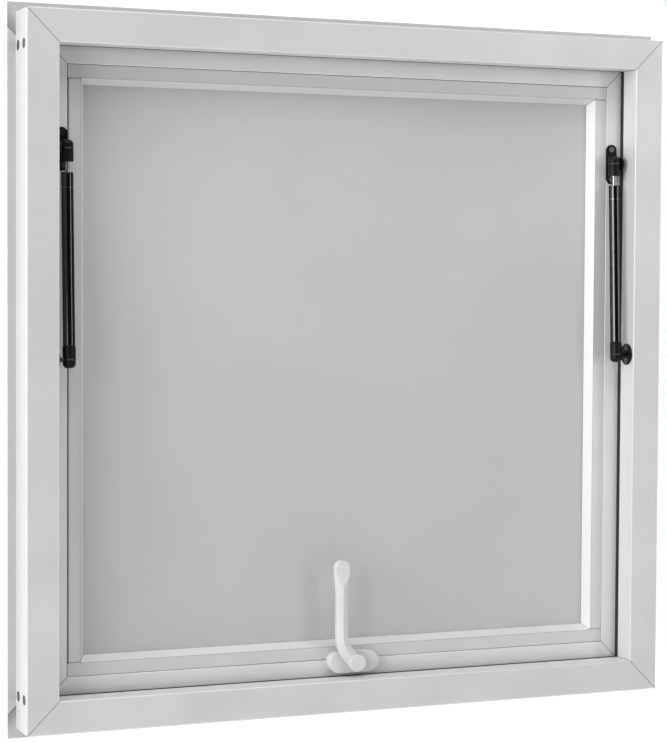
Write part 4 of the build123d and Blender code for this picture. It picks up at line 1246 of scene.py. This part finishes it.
@dataclass(frozen=True)
class StudioPaper(Finish):
    """Seamless white studio paper, with a faint fibre tooth."""

    tone: Colour = grey(0.90)
    drifted: Colour = grey(0.88)
    glow: float = 0.22

    def paint(self, graph: Graph) -> None:
        """Builds the paper's tone and tooth, on the side that faces the window only."""
        behind = graph.node("ShaderNodeNewGeometry", {}, {}, "Backfacing")
        fibre = graph.noise((400.0, 400.0, 400.0), 3.0)
        drift = graph.noise((0.8, 0.8, 0.8), 2.0)
        colour = graph.tint(self.tone, self.drifted, 0.5 * fibre + 0.3 * drift)
        graph.surface(
            base_color=colour,
            roughness=0.85 + 0.1 * fibre,
            emission_color=colour,
            emission_strength=self.glow,
            alpha=1.0 - behind,
            normal=graph.bump(fibre, 0.05 * MM, 0.2),
        )


@dataclass
class Studio:
    """Pale floor that curves up behind the window, soft lamps, and the camera."""

    camera_place: Vector = field(default_factory=lambda: Vector((-1.14413, -2.64704, 0.11921)))
    right: Vector = field(default_factory=lambda: Vector((0.92136, -0.38869, 0.00552)))
    ahead: Vector = field(default_factory=lambda: Vector((0.38856, 0.92046, -0.04223)))
    lens: float = 106.78
    ambient: float = 0.03
    sweep_radius: float = 1.2
    sweep_behind: float = 1.4
    floor_drop: float = 0.45
    sheet_reach: float = 9.0
    sheet_top: float = 7.0
    sweep_steps: int = 16

    def sweep(self) -> None:
        """Builds the floor and backdrop as one sheet of paper."""
        low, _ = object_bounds()
        floor = low.z - self.floor_drop
        profile = [(-self.sheet_reach, floor), (self.sweep_behind, floor)]
        for step in range(1, self.sweep_steps + 1):
            turn = math.radians(90.0 * step / self.sweep_steps)
            profile.append(
                (self.sweep_behind + self.sweep_radius * math.sin(turn),
                 floor + self.sweep_radius * (1 - math.cos(turn)))
            )
        profile.append((self.sweep_behind + self.sweep_radius, self.sheet_top))
        sheet = bmesh.new()
        sides = (-self.sheet_reach, self.sheet_reach)
        rows = [[sheet.verts.new((x, y, z)) for x in sides] for y, z in profile]
        for near, far in zip(rows, rows[1:]):
            sheet.faces.new((near[0], near[1], far[1], far[0]))
        mesh = bpy.data.meshes.new("studio_sweep")
        sheet.to_mesh(mesh)
        sheet.free()
        mesh.shade_smooth()
        piece = bpy.data.objects.new("studio_sweep", mesh)
        bpy.context.scene.collection.objects.link(piece)
        mesh.materials.append(StudioPaper("studio_paper").material())
        piece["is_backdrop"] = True

    def lamps(self) -> None:
        """Hangs the lamps: a key and a strip on the left, fill, top, back and rim lights, and air."""
        aim = Vector((0.0, 0.0, -0.05))
        Lamp("key_lamp", Vector((-4.6, -2.5, 1.25)), aim, 3.0, 3.6, 184.0).build()
        Lamp("strip_lamp", Vector((-4.0, -1.2, 0.45)), aim, 0.75, 2.6, 32.0).build()
        Lamp("fill_lamp", Vector((2.3, -2.5, 0.6)), aim, 0.6, 2.2, 18.5).build()
        Lamp("top_lamp", Vector((0.0, -1.3, 2.4)), aim, 2.4, 1.4, 53.0).build()
        Lamp("back_lamp", Vector((0.6, 1.5, 2.3)), Vector((0.2, 2.2, 0.0)), 3.0, 1.0, 14.0).build()
        Lamp("rim_lamp", Vector((1.9, 2.3, 1.5)), aim, 1.6, 1.6, 24.0).build()
        world = bpy.data.worlds.new("studio_air")
        world.use_nodes = True
        air = world.node_tree.nodes["Background"]
        air.inputs["Color"].default_value = (1.0, 1.0, 1.0, 1.0)
        air.inputs["Strength"].default_value = self.ambient
        bpy.context.scene.world = world

    def camera(self) -> None:
        """Sets up the camera."""
        lens = bpy.data.cameras.new("studio_camera")
        lens.lens = self.lens
        lens.clip_start = 0.05
        lens.clip_end = 60.0
        holder = bpy.data.objects.new("studio_camera", lens)
        right = self.right.normalized()
        back = -(self.ahead - right * self.ahead.dot(right)).normalized()
        up = back.cross(right)
        turn = Matrix((right, up, back)).transposed()
        holder.matrix_world = Matrix.Translation(self.camera_place) @ turn.to_4x4()
        bpy.context.scene.collection.objects.link(holder)
        bpy.context.scene.camera = holder

    def build(self) -> None:
        """Builds the whole studio."""
        self.sweep()
        self.lamps()
        self.camera()
        bpy.context.scene.view_settings.view_transform = "Standard"


def main() -> None:
    """Builds and dresses each sub-assembly, then the studio."""
    logging.basicConfig(level=logging.INFO, format="%(message)s")
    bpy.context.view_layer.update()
    for assembly in (OuterFrame(), Sash(), StrutSet(), LeverHandle()):
        assembly.build()
        assembly.dress()
        log.info("%s done", type(assembly).__name__)
    Studio().build()


if __name__ == "__main__":
    main()
